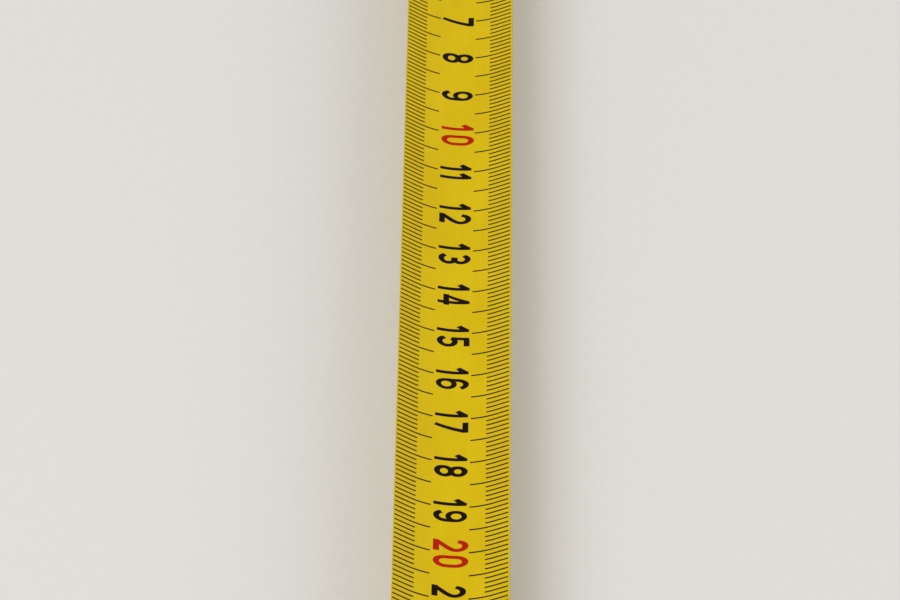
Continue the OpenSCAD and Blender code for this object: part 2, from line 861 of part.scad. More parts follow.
// Side profile of the clip in y and z: pad, bow and flared lower end.
module clip_profile() {
    pad_top = clip_pad_z + clip_pad_half;
    pad_low = clip_pad_z - clip_pad_half;
    pinch_z = clip_low + 9;
    pinch_y = body_half + 0.8;
    polygon([
        [clip_face, pad_top],
        [clip_face, pad_low],
        [clip_out - 0.6, pad_low - 3],
        [clip_out, pad_low - 5],
        [clip_out, pinch_z + 8],
        [pinch_y, pinch_z],
        [pinch_y + 3, clip_low],
        [pinch_y + 3 + clip_t, clip_low],
        [pinch_y + clip_t + 0.2, pinch_z],
        [clip_out + clip_t, pinch_z + 8],
        [clip_out + clip_t, pad_low - 4.6],
        [clip_out + clip_t - 0.6, pad_low - 2.2],
        [clip_face + clip_t, pad_low + 0.5],
        [clip_face + clip_t, pad_top]
    ]);
}

module belt_clip() {
    color("lightgray") difference() {
        translate([clip_x - clip_w / 2, 0, 0]) rotate([90, 0, 90]) linear_extrude(clip_w) clip_profile();
        y_cylinder([clip_x, clip_pad_z], clip_screw_r + seat_gap, 0, clip_out + 5);
        for (side = [-1, 1]) translate([clip_x + side * clip_w / 2, clip_out, clip_low])
            rotate([0, 45, 0]) cube([5, 20, 5], center = true);
    }
}

module clip_screw() {
    head_low = clip_face + clip_t;
    head_h = 1.5;
    color("silver") difference() {
        union() {
            y_cylinder([clip_x, clip_pad_z], clip_screw_r, cavity_half + 0.4, head_low + 0.5);
            y_cylinder([clip_x, clip_pad_z], 2.9, head_low, head_low + head_h);
        }
        for (a = [0, 90]) translate([clip_x, head_low + head_h, clip_pad_z]) rotate([0, a, 0])
            cube([0.7, 2, 3.2], center = true);
    }
}

// Brass insert moulded into the left half for the clip's screw.
module clip_insert() {
    color("goldenrod") difference() {
        y_cylinder([clip_x, clip_pad_z], insert_r, cavity_half + 0.2, clip_face);
        y_cylinder([clip_x, clip_pad_z], clip_screw_r + run_gap, cavity_half, clip_face + 1);
    }
}

case_left();
case_right();
grip_left();
grip_right();
case_screws();
centre_post();
spool_drum();
spool_cover();
spool_washers();
return_spring();
blade_coil();
blade();
end_hook();
hook_rivets();
lock_button();
lock_shoe();
blade_guide();
hook_bumper();
belt_clip();
clip_screw();
clip_insert();
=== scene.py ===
"""Looks of the pocket tape measure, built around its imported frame.

The case, its rubber, the thumb lock, the end hook, the belt clip and the printed blade are
modelled here. The spool, the springs and the other inner parts keep their solids and get a finish.
Sizes in the dataclasses are in millimetres where no comment says otherwise. Finished meshes are
in metres.
"""

import json
import logging
import math
from collections.abc import Iterable, Sequence
from dataclasses import dataclass, field
from enum import Enum

import bmesh
import bpy
from mathutils import Matrix, Vector


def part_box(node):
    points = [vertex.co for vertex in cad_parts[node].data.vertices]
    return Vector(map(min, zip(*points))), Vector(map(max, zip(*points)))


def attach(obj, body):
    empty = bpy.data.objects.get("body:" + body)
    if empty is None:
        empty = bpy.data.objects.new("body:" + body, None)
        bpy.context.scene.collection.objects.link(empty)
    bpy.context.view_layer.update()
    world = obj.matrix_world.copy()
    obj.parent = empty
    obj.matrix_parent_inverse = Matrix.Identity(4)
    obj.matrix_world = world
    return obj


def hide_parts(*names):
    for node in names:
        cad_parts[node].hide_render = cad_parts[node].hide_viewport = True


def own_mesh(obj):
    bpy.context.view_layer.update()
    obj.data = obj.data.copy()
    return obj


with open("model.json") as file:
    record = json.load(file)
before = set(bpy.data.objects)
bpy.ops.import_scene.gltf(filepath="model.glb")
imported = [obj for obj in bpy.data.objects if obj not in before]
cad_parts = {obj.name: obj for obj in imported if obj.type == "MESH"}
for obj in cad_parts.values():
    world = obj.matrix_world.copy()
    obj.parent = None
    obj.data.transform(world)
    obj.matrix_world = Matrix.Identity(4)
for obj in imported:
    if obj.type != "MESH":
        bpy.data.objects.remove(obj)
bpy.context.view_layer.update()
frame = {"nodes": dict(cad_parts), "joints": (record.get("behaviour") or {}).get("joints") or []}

MM = 0.001
MERGE = 1e-7  # vertices closer than this many metres are one
PAST = 1.0  # millimetres by which a cutter reaches past what it cuts
HAIR = 0.01  # keeps a rounding just short of half the width that it rounds
RIM_STEPS = 8  # segments of the case's rounded side edges
FINE = 40  # degrees between faces from which a small part's edge stays sharp
LOG = logging.getLogger("tape_measure")

Point = tuple[float, float]
Corner = tuple[float, float, float]
Box = tuple[Corner, Corner]


class Body(Enum):
    """Bodies of the frame that pieces ride on."""

    CASE = "case"
    BLADE_END = "blade_end"
    HOOK = "hook"
    LOCK = "lock"


class Carve(Enum):
    """Ways to combine two solids."""

    CUT = "DIFFERENCE"
    JOIN = "UNION"
    KEEP = "INTERSECT"


class Side(Enum):
    """Halves of the case, with the sign of their Y."""

    LEFT = 1
    RIGHT = -1


# ---------------------------------------------------------------- mesh work


def place(bm: bmesh.types.BMesh, matrix: Matrix, verts: Iterable | None = None) -> None:
    """Moves vertices by a matrix.

    Args:
        bm: Mesh to change.
        matrix: The move, in the mesh's own unit.
        verts: Vertices to move, or None for all.
    """
    bmesh.ops.transform(bm, matrix=matrix, verts=list(verts if verts is not None else bm.verts))


def everything(bm: bmesh.types.BMesh) -> list:
    """Gives all vertices, edges and faces of a mesh."""
    return [*bm.verts, *bm.edges, *bm.faces]


def hang(name: str, data: bpy.types.ID) -> bpy.types.Object:
    """Puts a mesh, lamp or camera into the scene at the origin.

    Args:
        name: Name of the object.
        data: What it holds.

    Returns:
        The new object.
    """
    obj = bpy.data.objects.new(name, data)
    bpy.context.scene.collection.objects.link(obj)
    return obj


def cast(name: str, bm: bmesh.types.BMesh) -> bpy.types.Mesh:
    """Turns a bmesh into a mesh.

    Args:
        name: Name of the mesh.
        bm: Its shape, which is freed.

    Returns:
        The new mesh.
    """
    mesh = bpy.data.meshes.new(name)
    bm.to_mesh(mesh)
    bm.free()
    return mesh


def publish(name: str, bm: bmesh.types.BMesh) -> bpy.types.Object:
    """Turns a closed bmesh into an object at the origin, with its faces outwards.

    Args:
        name: Name of the object.
        bm: Its shape, which is freed.

    Returns:
        The new object.
    """
    bmesh.ops.remove_doubles(bm, verts=bm.verts, dist=MERGE)
    bmesh.ops.recalc_face_normals(bm, faces=bm.faces)
    return hang(name, cast(name, bm))


def stamp(bm: bmesh.types.BMesh, mesh: bpy.types.Mesh, matrix: Matrix) -> None:
    """Adds a moved copy of a mesh.

    Args:
        bm: Mesh that gets the copy.
        mesh: Mesh to copy.
        matrix: The move.
    """
    copy = mesh.copy()
    copy.transform(matrix)
    bm.from_mesh(copy)
    bpy.data.meshes.remove(copy)


def thicken(bm: bmesh.types.BMesh, step: Sequence[float]) -> list[bmesh.types.BMFace]:
    """Extrudes flat work into a solid.

    Args:
        bm: Flat mesh.
        step: Move of the far side.

    Returns:
        The faces of the far side.
    """
    grown = bmesh.ops.extrude_face_region(bm, geom=list(bm.faces))["geom"]
    bmesh.ops.translate(bm, vec=step, verts=[g for g in grown if isinstance(g, bmesh.types.BMVert)])
    return [g for g in grown if isinstance(g, bmesh.types.BMFace)]


def split(bm: bmesh.types.BMesh, at: Sequence[float], normal: Sequence[float], trim: bool = False) -> None:
    """Cuts a mesh along a plane.

    Args:
        bm: Mesh to cut.
        at: Point of the plane.
        normal: Its normal.
        trim: Whether what lies beyond the plane goes.
    """
    bmesh.ops.bisect_plane(bm, geom=everything(bm), plane_co=at, plane_no=normal, clear_outer=trim)


def settle(obj: bpy.types.Object) -> None:
    """Replaces an object's mesh by what its modifiers make of it.

    Args:
        obj: Object to change.
    """
    graph = bpy.context.evaluated_depsgraph_get()
    mesh = bpy.data.meshes.new_from_object(obj.evaluated_get(graph))
    old = obj.data
    obj.modifiers.clear()
    obj.data = mesh
    bpy.data.meshes.remove(old)
    mesh.name = obj.name


def carve(base: bpy.types.Object, tool: bpy.types.Object, how: Carve = Carve.CUT) -> None:
    """Combines two closed solids and removes the tool.

    Args:
        base: Solid that stays.
        tool: Solid that is used up.
        how: What is done.
    """
    step = base.modifiers.new("carve", "BOOLEAN")
    step.object = tool
    step.operation = how.value
    step.solver = "EXACT"
    settle(base)
    bpy.data.objects.remove(tool)


def wall(obj: bpy.types.Object, thick: float, side: int) -> None:
    """Gives a sheet its thickness.

    Args:
        obj: Open sheet.
        thick: Thickness in millimetres.
        side: 1 to add it on the side that the faces look to, -1 on the other.
    """
    sheet = obj.modifiers.new("sheet", "SOLIDIFY")
    sheet.thickness = thick * MM
    sheet.offset = side
    sheet.use_even_offset = True
    settle(obj)


def clean(obj: bpy.types.Object, reach: float) -> None:
    """Merges the slivers that carving leaves.

    Args:
        obj: Piece to change.
        reach: Edges and faces narrower than this many millimetres are closed up.
    """
    bm = bmesh.new()
    bm.from_mesh(obj.data)
    bmesh.ops.remove_doubles(bm, verts=bm.verts, dist=reach * MM)
    bmesh.ops.dissolve_degenerate(bm, dist=reach * MM, edges=bm.edges)
    bm.to_mesh(obj.data)
    bm.free()


def soften(obj: bpy.types.Object, width: float, steps: int = 2, angle: float = 38) -> None:
    """Rounds the sharp edges of a finished piece and smooths its shading.

    Args:
        obj: Piece to change.
        width: Width of the rounding in millimetres, 0 for smooth shading alone.
        steps: Segments of the rounding.
        angle: Edges sharper than this many degrees are rounded.
    """
    if width > 0:
        rounding = obj.modifiers.new("rounding", "BEVEL")
        rounding.width = width * MM
        rounding.segments = steps
        rounding.limit_method = "ANGLE"
        rounding.angle_limit = math.radians(angle)
        rounding.profile = 0.5
        settle(obj)
    obj.data.shade_smooth()
    obj.data.set_sharp_from_angle(angle=math.radians(angle))
    shading = obj.modifiers.new("shading", "WEIGHTED_NORMAL")
    shading.keep_sharp = True
    settle(obj)


def rounded_face(bm: bmesh.types.BMesh, corners: Sequence[Corner], steps: int) -> None:
    """Draws a flat face with rounded corners in X and Z, at Y = 0.

    Args:
        bm: Mesh to draw in.
        corners: X, Z and radius of each corner, in millimetres.
        steps: Segments of each rounding.
    """
    verts = [bm.verts.new((x * MM, 0, z * MM)) for x, z, _ in corners]
    bm.faces.new(verts)
    count = len(corners)
    for i, vert in enumerate(verts):
        before = Vector(corners[i][:2]) - Vector(corners[i - 1][:2])
        after = Vector(corners[(i + 1) % count][:2]) - Vector(corners[i][:2])
        reach = corners[i][2] * math.tan(before.angle(after) / 2)
        if reach > 0:
            bmesh.ops.bevel(bm, geom=[vert], offset=reach * MM, offset_type="OFFSET", segments=steps,
                            profile=0.5, affect="VERTICES", material=-1, clamp_overlap=False)


def prism(name: str, corners: Sequence[Corner], low: float, high: float,
          steps: int = 8, rim: float = 0) -> bpy.types.Object:
    """Extrudes a rounded outline along Y.

    Args:
        name: Name of the object.
        corners: X, Z and radius of each corner, in millimetres.
        low: Y where it starts.
        high: Y where it ends.
        steps: Segments of each corner.
        rim: Rounding of the rim at the far end.

    Returns:
        The solid.
    """
    bm = bmesh.new()
    rounded_face(bm, corners, steps)
    far = thicken(bm, (0, (high - low) * MM, 0))
    if rim > 0:
        edges = {e for f in far for e in f.edges}
        bmesh.ops.bevel(bm, geom=list(edges), offset=rim * MM, offset_type="OFFSET", segments=RIM_STEPS,
                        profile=0.5, affect="EDGES", material=-1, clamp_overlap=False)
    place(bm, Matrix.Translation((0, low * MM, 0)))
    return publish(name, bm)


def block(name: str, low: Sequence[float], high: Sequence[float], rounding: float = 0,
          along: int = 1) -> bpy.types.Object:
    """Makes a box whose four edges along one axis are rounded.

    Args:
        name: Name of the object.
        low: Lowest corner, in millimetres.
        high: Highest corner.
        rounding: Radius of those edges.
        along: Axis that the rounded edges follow.

    Returns:
        The solid.
    """
    bm = bmesh.new()
    bmesh.ops.create_cube(bm, size=1)
    middle = [(a + b) / 2 * MM for a, b in zip(low, high)]
    span = [(b - a) * MM for a, b in zip(low, high)]
    place(bm, Matrix.Translation(middle) @ Matrix.Diagonal((*span, 1)))
    if rounding > 0:
        edges = [e for e in bm.edges
                 if abs((e.verts[0].co - e.verts[1].co).normalized()[along]) > 0.9]
        bmesh.ops.bevel(bm, geom=edges, offset=rounding * MM, offset_type="OFFSET", segments=5,
                        profile=0.5, affect="EDGES", material=-1)
    return publish(name, bm)


def rod(name: str, at: Point, radius: float, low: float, high: float, steps: int = 64,
        flare: float = 0) -> bpy.types.Object:
    """Makes a cylinder or a cone along Y.

    Args:
        name: Name of the object.
        at: X and Z of its axis, in millimetres.
        radius: Its radius.
        low: Y where it starts.
        high: Y where it ends.
        steps: Sides of the circle.
        flare: Growth of the radius towards the high end.

    Returns:
        The solid.
    """
    bm = bmesh.new()
    bmesh.ops.create_cone(bm, cap_ends=True, segments=steps, radius1=(radius + flare) * MM,
                          radius2=radius * MM, depth=(high - low) * MM)
    middle = Matrix.Translation((at[0] * MM, (low + high) / 2 * MM, at[1] * MM))
    place(bm, middle @ Matrix.Rotation(math.pi / 2, 4, "X"))
    return publish(name, bm)


def lathe(profile: Sequence[Point], steps: int = 48) -> bmesh.types.BMesh:
    """Turns a profile about the Z axis.

    Args:
        profile: Radius and height of each point, in millimetres, from axis to axis.
        steps: Sides of the circle.

    Returns:
        The closed mesh.
    """
    bm = bmesh.new()
    verts = [bm.verts.new((r * MM, 0, z * MM)) for r, z in profile]
    edges = [bm.edges.new(pair) for pair in zip(verts, verts[1:])]
    bmesh.ops.spin(bm, geom=verts + edges, cent=(0, 0, 0), axis=(0, 0, 1), angle=2 * math.pi,
                   steps=steps, use_merge=True)
    bmesh.ops.remove_doubles(bm, verts=bm.verts, dist=MERGE)
    bmesh.ops.recalc_face_normals(bm, faces=bm.faces)
    return bm


def ribbon(rows: Sequence[tuple[Vector, Vector]], closed: bool = False) -> bmesh.types.BMesh:
    """Extrudes an edge through pairs of points.

    Args:
        rows: Both ends of the edge at each step, in metres.
        closed: Whether the last step meets the first.

    Returns:
        The open strip.
    """
    bm = bmesh.new()
    ends = [bm.verts.new(p) for p in rows[0]]
    edge = bm.edges.new(ends)
    steps = list(rows[1:]) + ([rows[0]] if closed else [])
    for left, right in steps:
        grown = bmesh.ops.extrude_edge_only(bm, edges=[edge])["geom"]
        fresh = [g for g in grown if isinstance(g, bmesh.types.BMVert)]
        fresh.sort(key=lambda v: (v.co - ends[0].co).length)
        edge = next(g for g in grown if isinstance(g, bmesh.types.BMEdge) and set(g.verts) == set(fresh))
        fresh[0].co, fresh[1].co = left, right
        ends = fresh
    if closed:
        bmesh.ops.remove_doubles(bm, verts=bm.verts, dist=MERGE)
    return bm


def fillet(points: Sequence[Point], radii: Sequence[float], steps: int = 6) -> list[Point]:
    """Rounds the inner corners of an open line.

    Args:
        points: The line's corners.
        radii: Radius at each corner, of which the first and the last are not used.
        steps: Segments of each rounding.

    Returns:
        The rounded line.
    """
    line = [points[0]]
    for i in range(1, len(points) - 1):
        corner = Vector(points[i])
        back = (Vector(points[i - 1]) - corner).normalized()
        ahead = (Vector(points[i + 1]) - corner).normalized()
        half = back.angle(ahead) / 2
        centre = corner + (back + ahead).normalized() * radii[i] / math.sin(half)
        start = corner + back * radii[i] / math.tan(half) - centre
        end = corner + ahead * radii[i] / math.tan(half) - centre
        turn = start.angle_signed(end)
        for k in range(steps + 1):
            spoke = start.copy()
            spoke.rotate(Matrix.Rotation(-turn * k / steps, 2))
            line.append(tuple(centre + spoke))
    line.append(points[-1])
    return line


# ---------------------------------------------------------------- finishes


def srgb(code: str) -> tuple[float, float, float, float]:
    """Turns an sRGB hex colour to linear.

    Args:
        code: Six hex digits.

    Returns:
        Linear red, green, blue and alpha.
    """
    parts = [int(code[i:i + 2], 16) / 255 for i in (0, 2, 4)]
    return (*[c / 12.92 if c <= 0.04045 else ((c + 0.055) / 1.055) ** 2.4 for c in parts], 1)


def feed(tree: bpy.types.NodeTree, node: bpy.types.Node, inputs: dict) -> None:
    """Sets or links inputs of a node.

    Args:
        tree: Tree of the node.
        node: Node to change.
        inputs: Values or sockets for its inputs, by name or number.
    """
    for name, value in inputs.items():
        if isinstance(value, bpy.types.NodeSocket):
            tree.links.new(value, node.inputs[name])
        else:
            node.inputs[name].default_value = value


def add(tree: bpy.types.NodeTree, kind: str, settings: dict | None = None,
        inputs: dict | None = None) -> bpy.types.Node:
    """Adds a node.

    Args:
        tree: Tree that it goes in.
        kind: Type of the node.
        settings: Properties by name.
        inputs: Values or sockets for its inputs, by name or number.

    Returns:
        The node.
    """
    node = tree.nodes.new(kind)
    for name, value in (settings or {}).items():
        setattr(node, name, value)
    feed(tree, node, inputs or {})
    return node


@dataclass(frozen=True)
class Finish:
    """Shared work of the finishes. Pattern sizes are in millimetres."""

    name: str

    def surface(self, tree: bpy.types.NodeTree, shader: bpy.types.Node) -> None:
        """Sets the shader up. Each finish has its own."""
        raise NotImplementedError

    def material(self) -> bpy.types.Material:
        """Gives the finish's material, which is made once.

        Returns:
            The material.
        """
        found = bpy.data.materials.get(self.name)
        if found:
            return found
        made = bpy.data.materials.new(self.name)
        made.use_nodes = True
        self.surface(made.node_tree, made.node_tree.nodes["Principled BSDF"])
        return made

    def coordinates(self, tree: bpy.types.NodeTree,
                    stretch: Sequence[float] = (1, 1, 1)) -> bpy.types.NodeSocket:
        """Gives object coordinates, stretched along the axes.

        Args:
            tree: Tree to work in.
            stretch: Factor of each axis.

        Returns:
            The vector socket.
        """
        where = add(tree, "ShaderNodeTexCoord")
        mapping = add(tree, "ShaderNodeMapping", inputs={"Vector": where.outputs["Object"], "Scale": stretch})
        return mapping.outputs["Vector"]

    def noise(self, tree: bpy.types.NodeTree, size: float, detail: float = 2,
              stretch: Sequence[float] = (1, 1, 1)) -> bpy.types.NodeSocket:
        """Gives a noise pattern.

        Args:
            tree: Tree to work in.
            size: Size of a grain in millimetres.
            detail: Levels of finer grain.
            stretch: Factor of each axis, below 1 where grains are drawn out.

        Returns:
            The value socket, from 0 to 1.
        """
        made = add(tree, "ShaderNodeTexNoise", inputs={
            "Vector": self.coordinates(tree, stretch), "Scale": 1 / (size * MM), "Detail": detail})
        return made.outputs["Fac"]

    def spread(self, tree: bpy.types.NodeTree, value: bpy.types.NodeSocket, low: float, high: float,
               start: float = 0.3, end: float = 0.7) -> bpy.types.NodeSocket:
        """Maps a pattern to a range.

        Args:
            tree: Tree to work in.
            value: Pattern to map.
            low: Result at start.
            high: Result at end.
            start: Pattern value that gives low.
            end: Pattern value that gives high.

        Returns:
            The mapped socket.
        """
        made = add(tree, "ShaderNodeMapRange", inputs={
            "Value": value, "From Min": start, "From Max": end, "To Min": low, "To Max": high})
        return made.outputs["Result"]

    def tint(self, tree: bpy.types.NodeTree, share: bpy.types.NodeSocket, first: str | bpy.types.NodeSocket,
             second: str) -> bpy.types.NodeSocket:
        """Mixes two colours by a pattern.

        Args:
            tree: Tree to work in.
            share: Share of the second colour.
            first: First colour, as hex digits or a socket.
            second: Second colour, as hex digits.

        Returns:
            The colour socket.
        """
        made = add(tree, "ShaderNodeMix", {"data_type": "RGBA"}, {
            0: share, 6: srgb(first) if isinstance(first, str) else first, 7: srgb(second)})
        return made.outputs[2]

    def relief(self, tree: bpy.types.NodeTree, shader: bpy.types.Node,
               layers: Sequence[tuple[bpy.types.NodeSocket, float]]) -> None:
        """Adds bump to a shader.

        Args:
            tree: Tree to work in.
            shader: Shader that gets it.
            layers: Height patterns with their depth in millimetres.
        """
        normal = None
        for height, depth in layers:
            inputs = {"Height": height, "Strength": 1.0, "Distance": depth * MM}
            if normal:
                inputs["Normal"] = normal
            normal = add(tree, "ShaderNodeBump", inputs=inputs).outputs["Normal"]
        tree.links.new(normal, shader.inputs["Normal"])


@dataclass(frozen=True)
class MouldedPlastic(Finish):
    """Injection-moulded ABS or acetal from a spark-eroded mould: fine even grain and a soft sheen."""

    colour: str
    worn: str
    roughness: float = 0.45
    grain: float = 0.45
    depth: float = 0.012
    # painted shade: near-black that darkens the hollows of the mould grain
    hollow: str = "1A1B1D"

    def surface(self, tree: bpy.types.NodeTree, shader: bpy.types.Node) -> None:
        """Sets colour mottling, handling sheen, mould grain and painted shade in the grain's hollows.

        Args:
            tree: Tree to work in.
            shader: Shader to set.
        """
        cloud = self.noise(tree, 9, detail=4)
        grain = self.noise(tree, self.grain, detail=2)
        flow = self.noise(tree, 2.2, detail=3, stretch=(1, 0.4, 1))
        base = self.tint(tree, self.spread(tree, cloud, 0, 0.4), self.colour, self.worn)
        # painted shade: the grain's low points, the hollows of its bump, are darkened towards the hollow
        # colour
        base = self.tint(tree, self.spread(tree, grain, 0.18, 0), base, self.hollow)
        gloss = self.spread(tree, flow, self.roughness - 0.07, self.roughness + 0.07)
        feed(tree, shader, {"Base Color": base, "Roughness": gloss, "IOR": 1.53})
        self.relief(tree, shader, [(flow, 0.01), (grain, self.depth)])


@dataclass(frozen=True)
class Rubber(Finish):
    """Thermoplastic rubber moulded over the case: matt, almost without highlights, lightly dusted by use."""

    colour: str = "222326"
    dust: str = "393A3E"
    grain: float = 0.6
    roughness: float = 0.72

    def surface(self, tree: bpy.types.NodeTree, shader: bpy.types.Node) -> None:
        """Sets a dusty matt black with a fine leather-like grain.

        Args:
            tree: Tree to work in.
            shader: Shader to set.
        """
        grain = add(tree, "ShaderNodeTexVoronoi", {"feature": "SMOOTH_F1"}, {
            "Vector": self.coordinates(tree), "Scale": 1 / (self.grain * MM), "Smoothness": 0.6})
        cells = grain.outputs["Distance"]
        dust = self.noise(tree, 7, detail=5)
        dusty = self.spread(tree, dust, 0, 0.6, start=0.42, end=0.75)
        base = self.tint(tree, dusty, self.colour, self.dust)
        sheen = self.spread(tree, dust, self.roughness - 0.06, self.roughness + 0.1)
        feed(tree, shader, {"Base Color": base, "Roughness": sheen, "IOR": 1.5, "Specular IOR Level": 0.4})
        self.relief(tree, shader, [(cells, 0.02), (self.noise(tree, 0.25), 0.006)])


@dataclass(frozen=True)
class PlatedSteel(Finish):
    """Pressed steel with a thin nickel or zinc plating: bright, faintly brushed, with handling scratches."""

    colour: str
    shade: str
    roughness: float
    drawn: Corner  # stretch of the brushed lines along each axis
    line: float = 0.22
    bright: str = "EDEEEF"

    def surface(self, tree: bpy.types.NodeTree, shader: bpy.types.Node) -> None:
        """Sets brushed lines, cloudy plating and fine scratches.

        Args:
            tree: Tree to work in.
            shader: Shader to set.
        """
        lines = self.noise(tree, self.line, detail=3, stretch=self.drawn)
        cloud = self.noise(tree, 3.5, detail=4)
        scratch = self.noise(tree, 0.6, detail=2, stretch=(1, 0.06, 0.3))
        base = self.tint(tree, self.spread(tree, cloud, 0, 0.35), self.colour, self.shade)
        base = self.tint(tree, self.spread(tree, lines, 0, 0.4), base, self.shade)
        streaks = self.spread(tree, scratch, 0, 0.35, start=0.64, end=0.74)
        base = self.tint(tree, streaks, base, self.bright)
        sheen = self.spread(tree, lines, self.roughness - 0.08, self.roughness + 0.1)
        feed(tree, shader, {"Base Color": base, "Roughness": sheen, "Metallic": 1})
        self.relief(tree, shader, [(lines, 0.004), (scratch, 0.003)])


@dataclass(frozen=True)
class BladeLacquer(Finish):
    """Yellow stoving lacquer on the steel blade: even satin colour, faint roller lines, rubbed edges."""

    colour: str = "D7BA06"
    deep: str = "CDAD03"
    rubbed: str = "A98F18"
    half_width: float = 8.956  # of the dished blade
    rim: float = 0.15  # width of its rubbed edge

    def surface(self, tree: bpy.types.NodeTree, shader: bpy.types.Node) -> None:
        """Sets the satin yellow, its lines along the blade and the wear of its edges.

        Args:
            tree: Tree to work in.
            shader: Shader to set.
        """
        lines = self.noise(tree, 0.35, detail=3, stretch=(0.02, 1, 1))
        cloud = self.noise(tree, 6, detail=3, stretch=(0.5, 1, 1))
        chips = self.noise(tree, 0.5, detail=4)
        base = self.tint(tree, self.spread(tree, cloud, 0, 0.7), self.colour, self.deep)
        base = self.tint(tree, self.spread(tree, lines, 0, 0.35), base, self.deep)
        apart = add(tree, "ShaderNodeSeparateXYZ", inputs={0: self.coordinates(tree)})
        across = add(tree, "ShaderNodeMath", {"operation": "ABSOLUTE"}, {0: apart.outputs["Y"]})
        edge = self.spread(tree, across.outputs[0], 0, 1, (self.half_width - self.rim) * MM,
                           self.half_width * MM)
        wear = add(tree, "ShaderNodeMath", {"operation": "MULTIPLY"}, {
            0: edge, 1: self.spread(tree, chips, 0.1, 0.8, start=0.4, end=0.62)})
        base = self.tint(tree, wear.outputs[0], base, self.rubbed)
        feed(tree, shader, {"Base Color": base, "Roughness": self.spread(tree, cloud, 0.44, 0.54),
                            "IOR": 1.48, "Specular IOR Level": 0.09})
        self.relief(tree, shader, [(lines, 0.0012), (self.noise(tree, 0.8, detail=2), 0.0025)])


@dataclass(frozen=True)
class PrintInk(Finish):
    """Gravure ink on lacquer: dense in the middle of a stroke, slightly broken where the roller lifts."""

    colour: str = "120903"
    thin: str = "281805"

    def surface(self, tree: bpy.types.NodeTree, shader: bpy.types.Node) -> None:
        """Sets the ink and its uneven density.

        Args:
            tree: Tree to work in.
            shader: Shader to set.
        """
        density = self.noise(tree, 0.3, detail=3)
        sparse = self.spread(tree, density, 0, 0.6, start=0.45, end=0.7)
        base = self.tint(tree, sparse, self.colour, self.thin)
        feed(tree, shader, {"Base Color": base, "Roughness": self.spread(tree, density, 0.5, 0.6),
                            "IOR": 1.48, "Specular IOR Level": 0.04})
        self.relief(tree, shader, [(density, 0.002)])


@dataclass(frozen=True)
class CastNylon(Finish):
    """Natural nylon: milky, a little waxy."""

    colour: str = "E6E1D3"
    cloudy: str = "D8D1BF"

    def surface(self, tree: bpy.types.NodeTree, shader: bpy.types.Node) -> None:
        """Sets the milky colour and a soft wax sheen.

        Args:
            tree: Tree to work in.
            shader: Shader to set.
        """
        cloud = self.noise(tree, 4, detail=3)
        base = self.tint(tree, self.spread(tree, cloud, 0, 0.6), self.colour, self.cloudy)
        feed(tree, shader, {"Base Color": base, "Roughness": self.spread(tree, cloud, 0.38, 0.5),
                            "IOR": 1.53, "Subsurface Weight": 0.15,
                            "Subsurface Radius": (1 * MM, 0.8 * MM, 0.6 * MM)})
        self.relief(tree, shader, [(self.noise(tree, 0.4), 0.006)])


@dataclass(frozen=True)
class StudioFloor(Finish):
    """Pale seamless board under the piece."""

    colour: str = "DCDAD6"
    fibres: str = "D6D4D0"

    def surface(self, tree: bpy.types.NodeTree, shader: bpy.types.Node) -> None:
        """Sets a matt pale board.

        Args:
            tree: Tree to work in.
            shader: Shader to set.
        """
        fibre = self.noise(tree, 1.5, detail=3)
        base = self.tint(tree, self.spread(tree, fibre, 0, 0.3), self.colour, self.fibres)
        feed(tree, shader, {"Base Color": base, "Roughness": 0.75})


DRAWN_ACROSS = (1, 0.08, 1)  # how brushed lines are stretched along X, Y and Z
DRAWN_UP = (1, 1, 0.07)
TURNED = (1, 0.1, 1)
EVEN = (1, 1, 1)

CASE_ABS = MouldedPlastic("graphite_abs_spark_grain", "5B5F64", "666A6F", roughness=0.46)
LOCK_ABS = MouldedPlastic("red_abs_satin", "B3241C", "BC3226", roughness=0.36, grain=0.35, depth=0.006)
SPOOL_ACETAL = MouldedPlastic("ivory_acetal_moulded", "D9D2BE", "CFC7B1", roughness=0.4, grain=0.4,
                              depth=0.006)
GRIP_RUBBER = Rubber("black_rubber_overmould")
SHOE_RUBBER = Rubber("brake_shoe_rubber", "2A2B2D", "3E3F42", grain=0.4)
HOOK_NICKEL = PlatedSteel("nickel_plated_steel", "C6C4BF", "A9A7A2", 0.27, DRAWN_ACROSS)
RIVET_NICKEL = PlatedSteel("nickel_plated_rivet", "CFCDC8", "B3B1AC", 0.24, EVEN, line=0.4)
SCREW_ZINC = PlatedSteel("zinc_plated_screw", "BFC3C9", "9BA0A8", 0.3, EVEN, line=0.4)
CLIP_STEEL = PlatedSteel("nickel_plated_spring_steel", "C4C5C6", "A5A6A8", 0.3, DRAWN_UP)
POST_STEEL = PlatedSteel("turned_steel", "B5B6B8", "9A9B9D", 0.34, TURNED)
SPRING_STEEL = PlatedSteel("blued_spring_strip", "6D727C", "50555F", 0.33, TURNED)
INSERT_BRASS = PlatedSteel("turned_brass", "C9A45A", "B08C45", 0.3, TURNED)
BLADE_YELLOW = BladeLacquer("yellow_lacquer_on_steel")
INK_BLACK = PrintInk("black_print")
INK_RED = PrintInk("red_print", "AD1B03", "B62E05")
WASHER_NYLON = CastNylon("natural_nylon")
SADDLE_NYLON = CastNylon("black_nylon", "2B2C2E", "333437")
BOARD = StudioFloor("pale_board")


# ---------------------------------------------------------------- pieces and their places


@dataclass
class Assembly:
    """Shared work of the sub-assemblies."""

    def hand_over(self, obj: bpy.types.Object, finish: Finish, body: Body, slot: str,
                  stands_for: Sequence[str] = ()) -> bpy.types.Object:
        """Dresses a piece and ties it to the frame.

        Args:
            obj: Finished piece.
            finish: Its finish.
            body: Body that it rides on.
            slot: Material slot of the record; not used.
            stands_for: Nodes of the frame that it replaces.

        Returns:
            The piece.
        """
        obj.data.materials.clear()
        obj.data.materials.append(finish.material())
        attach(obj, body.value)
        if stands_for:
            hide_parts(*stands_for)
        LOG.info("%s: %d faces, %s", obj.name, len(obj.data.polygons), finish.name)
        return obj


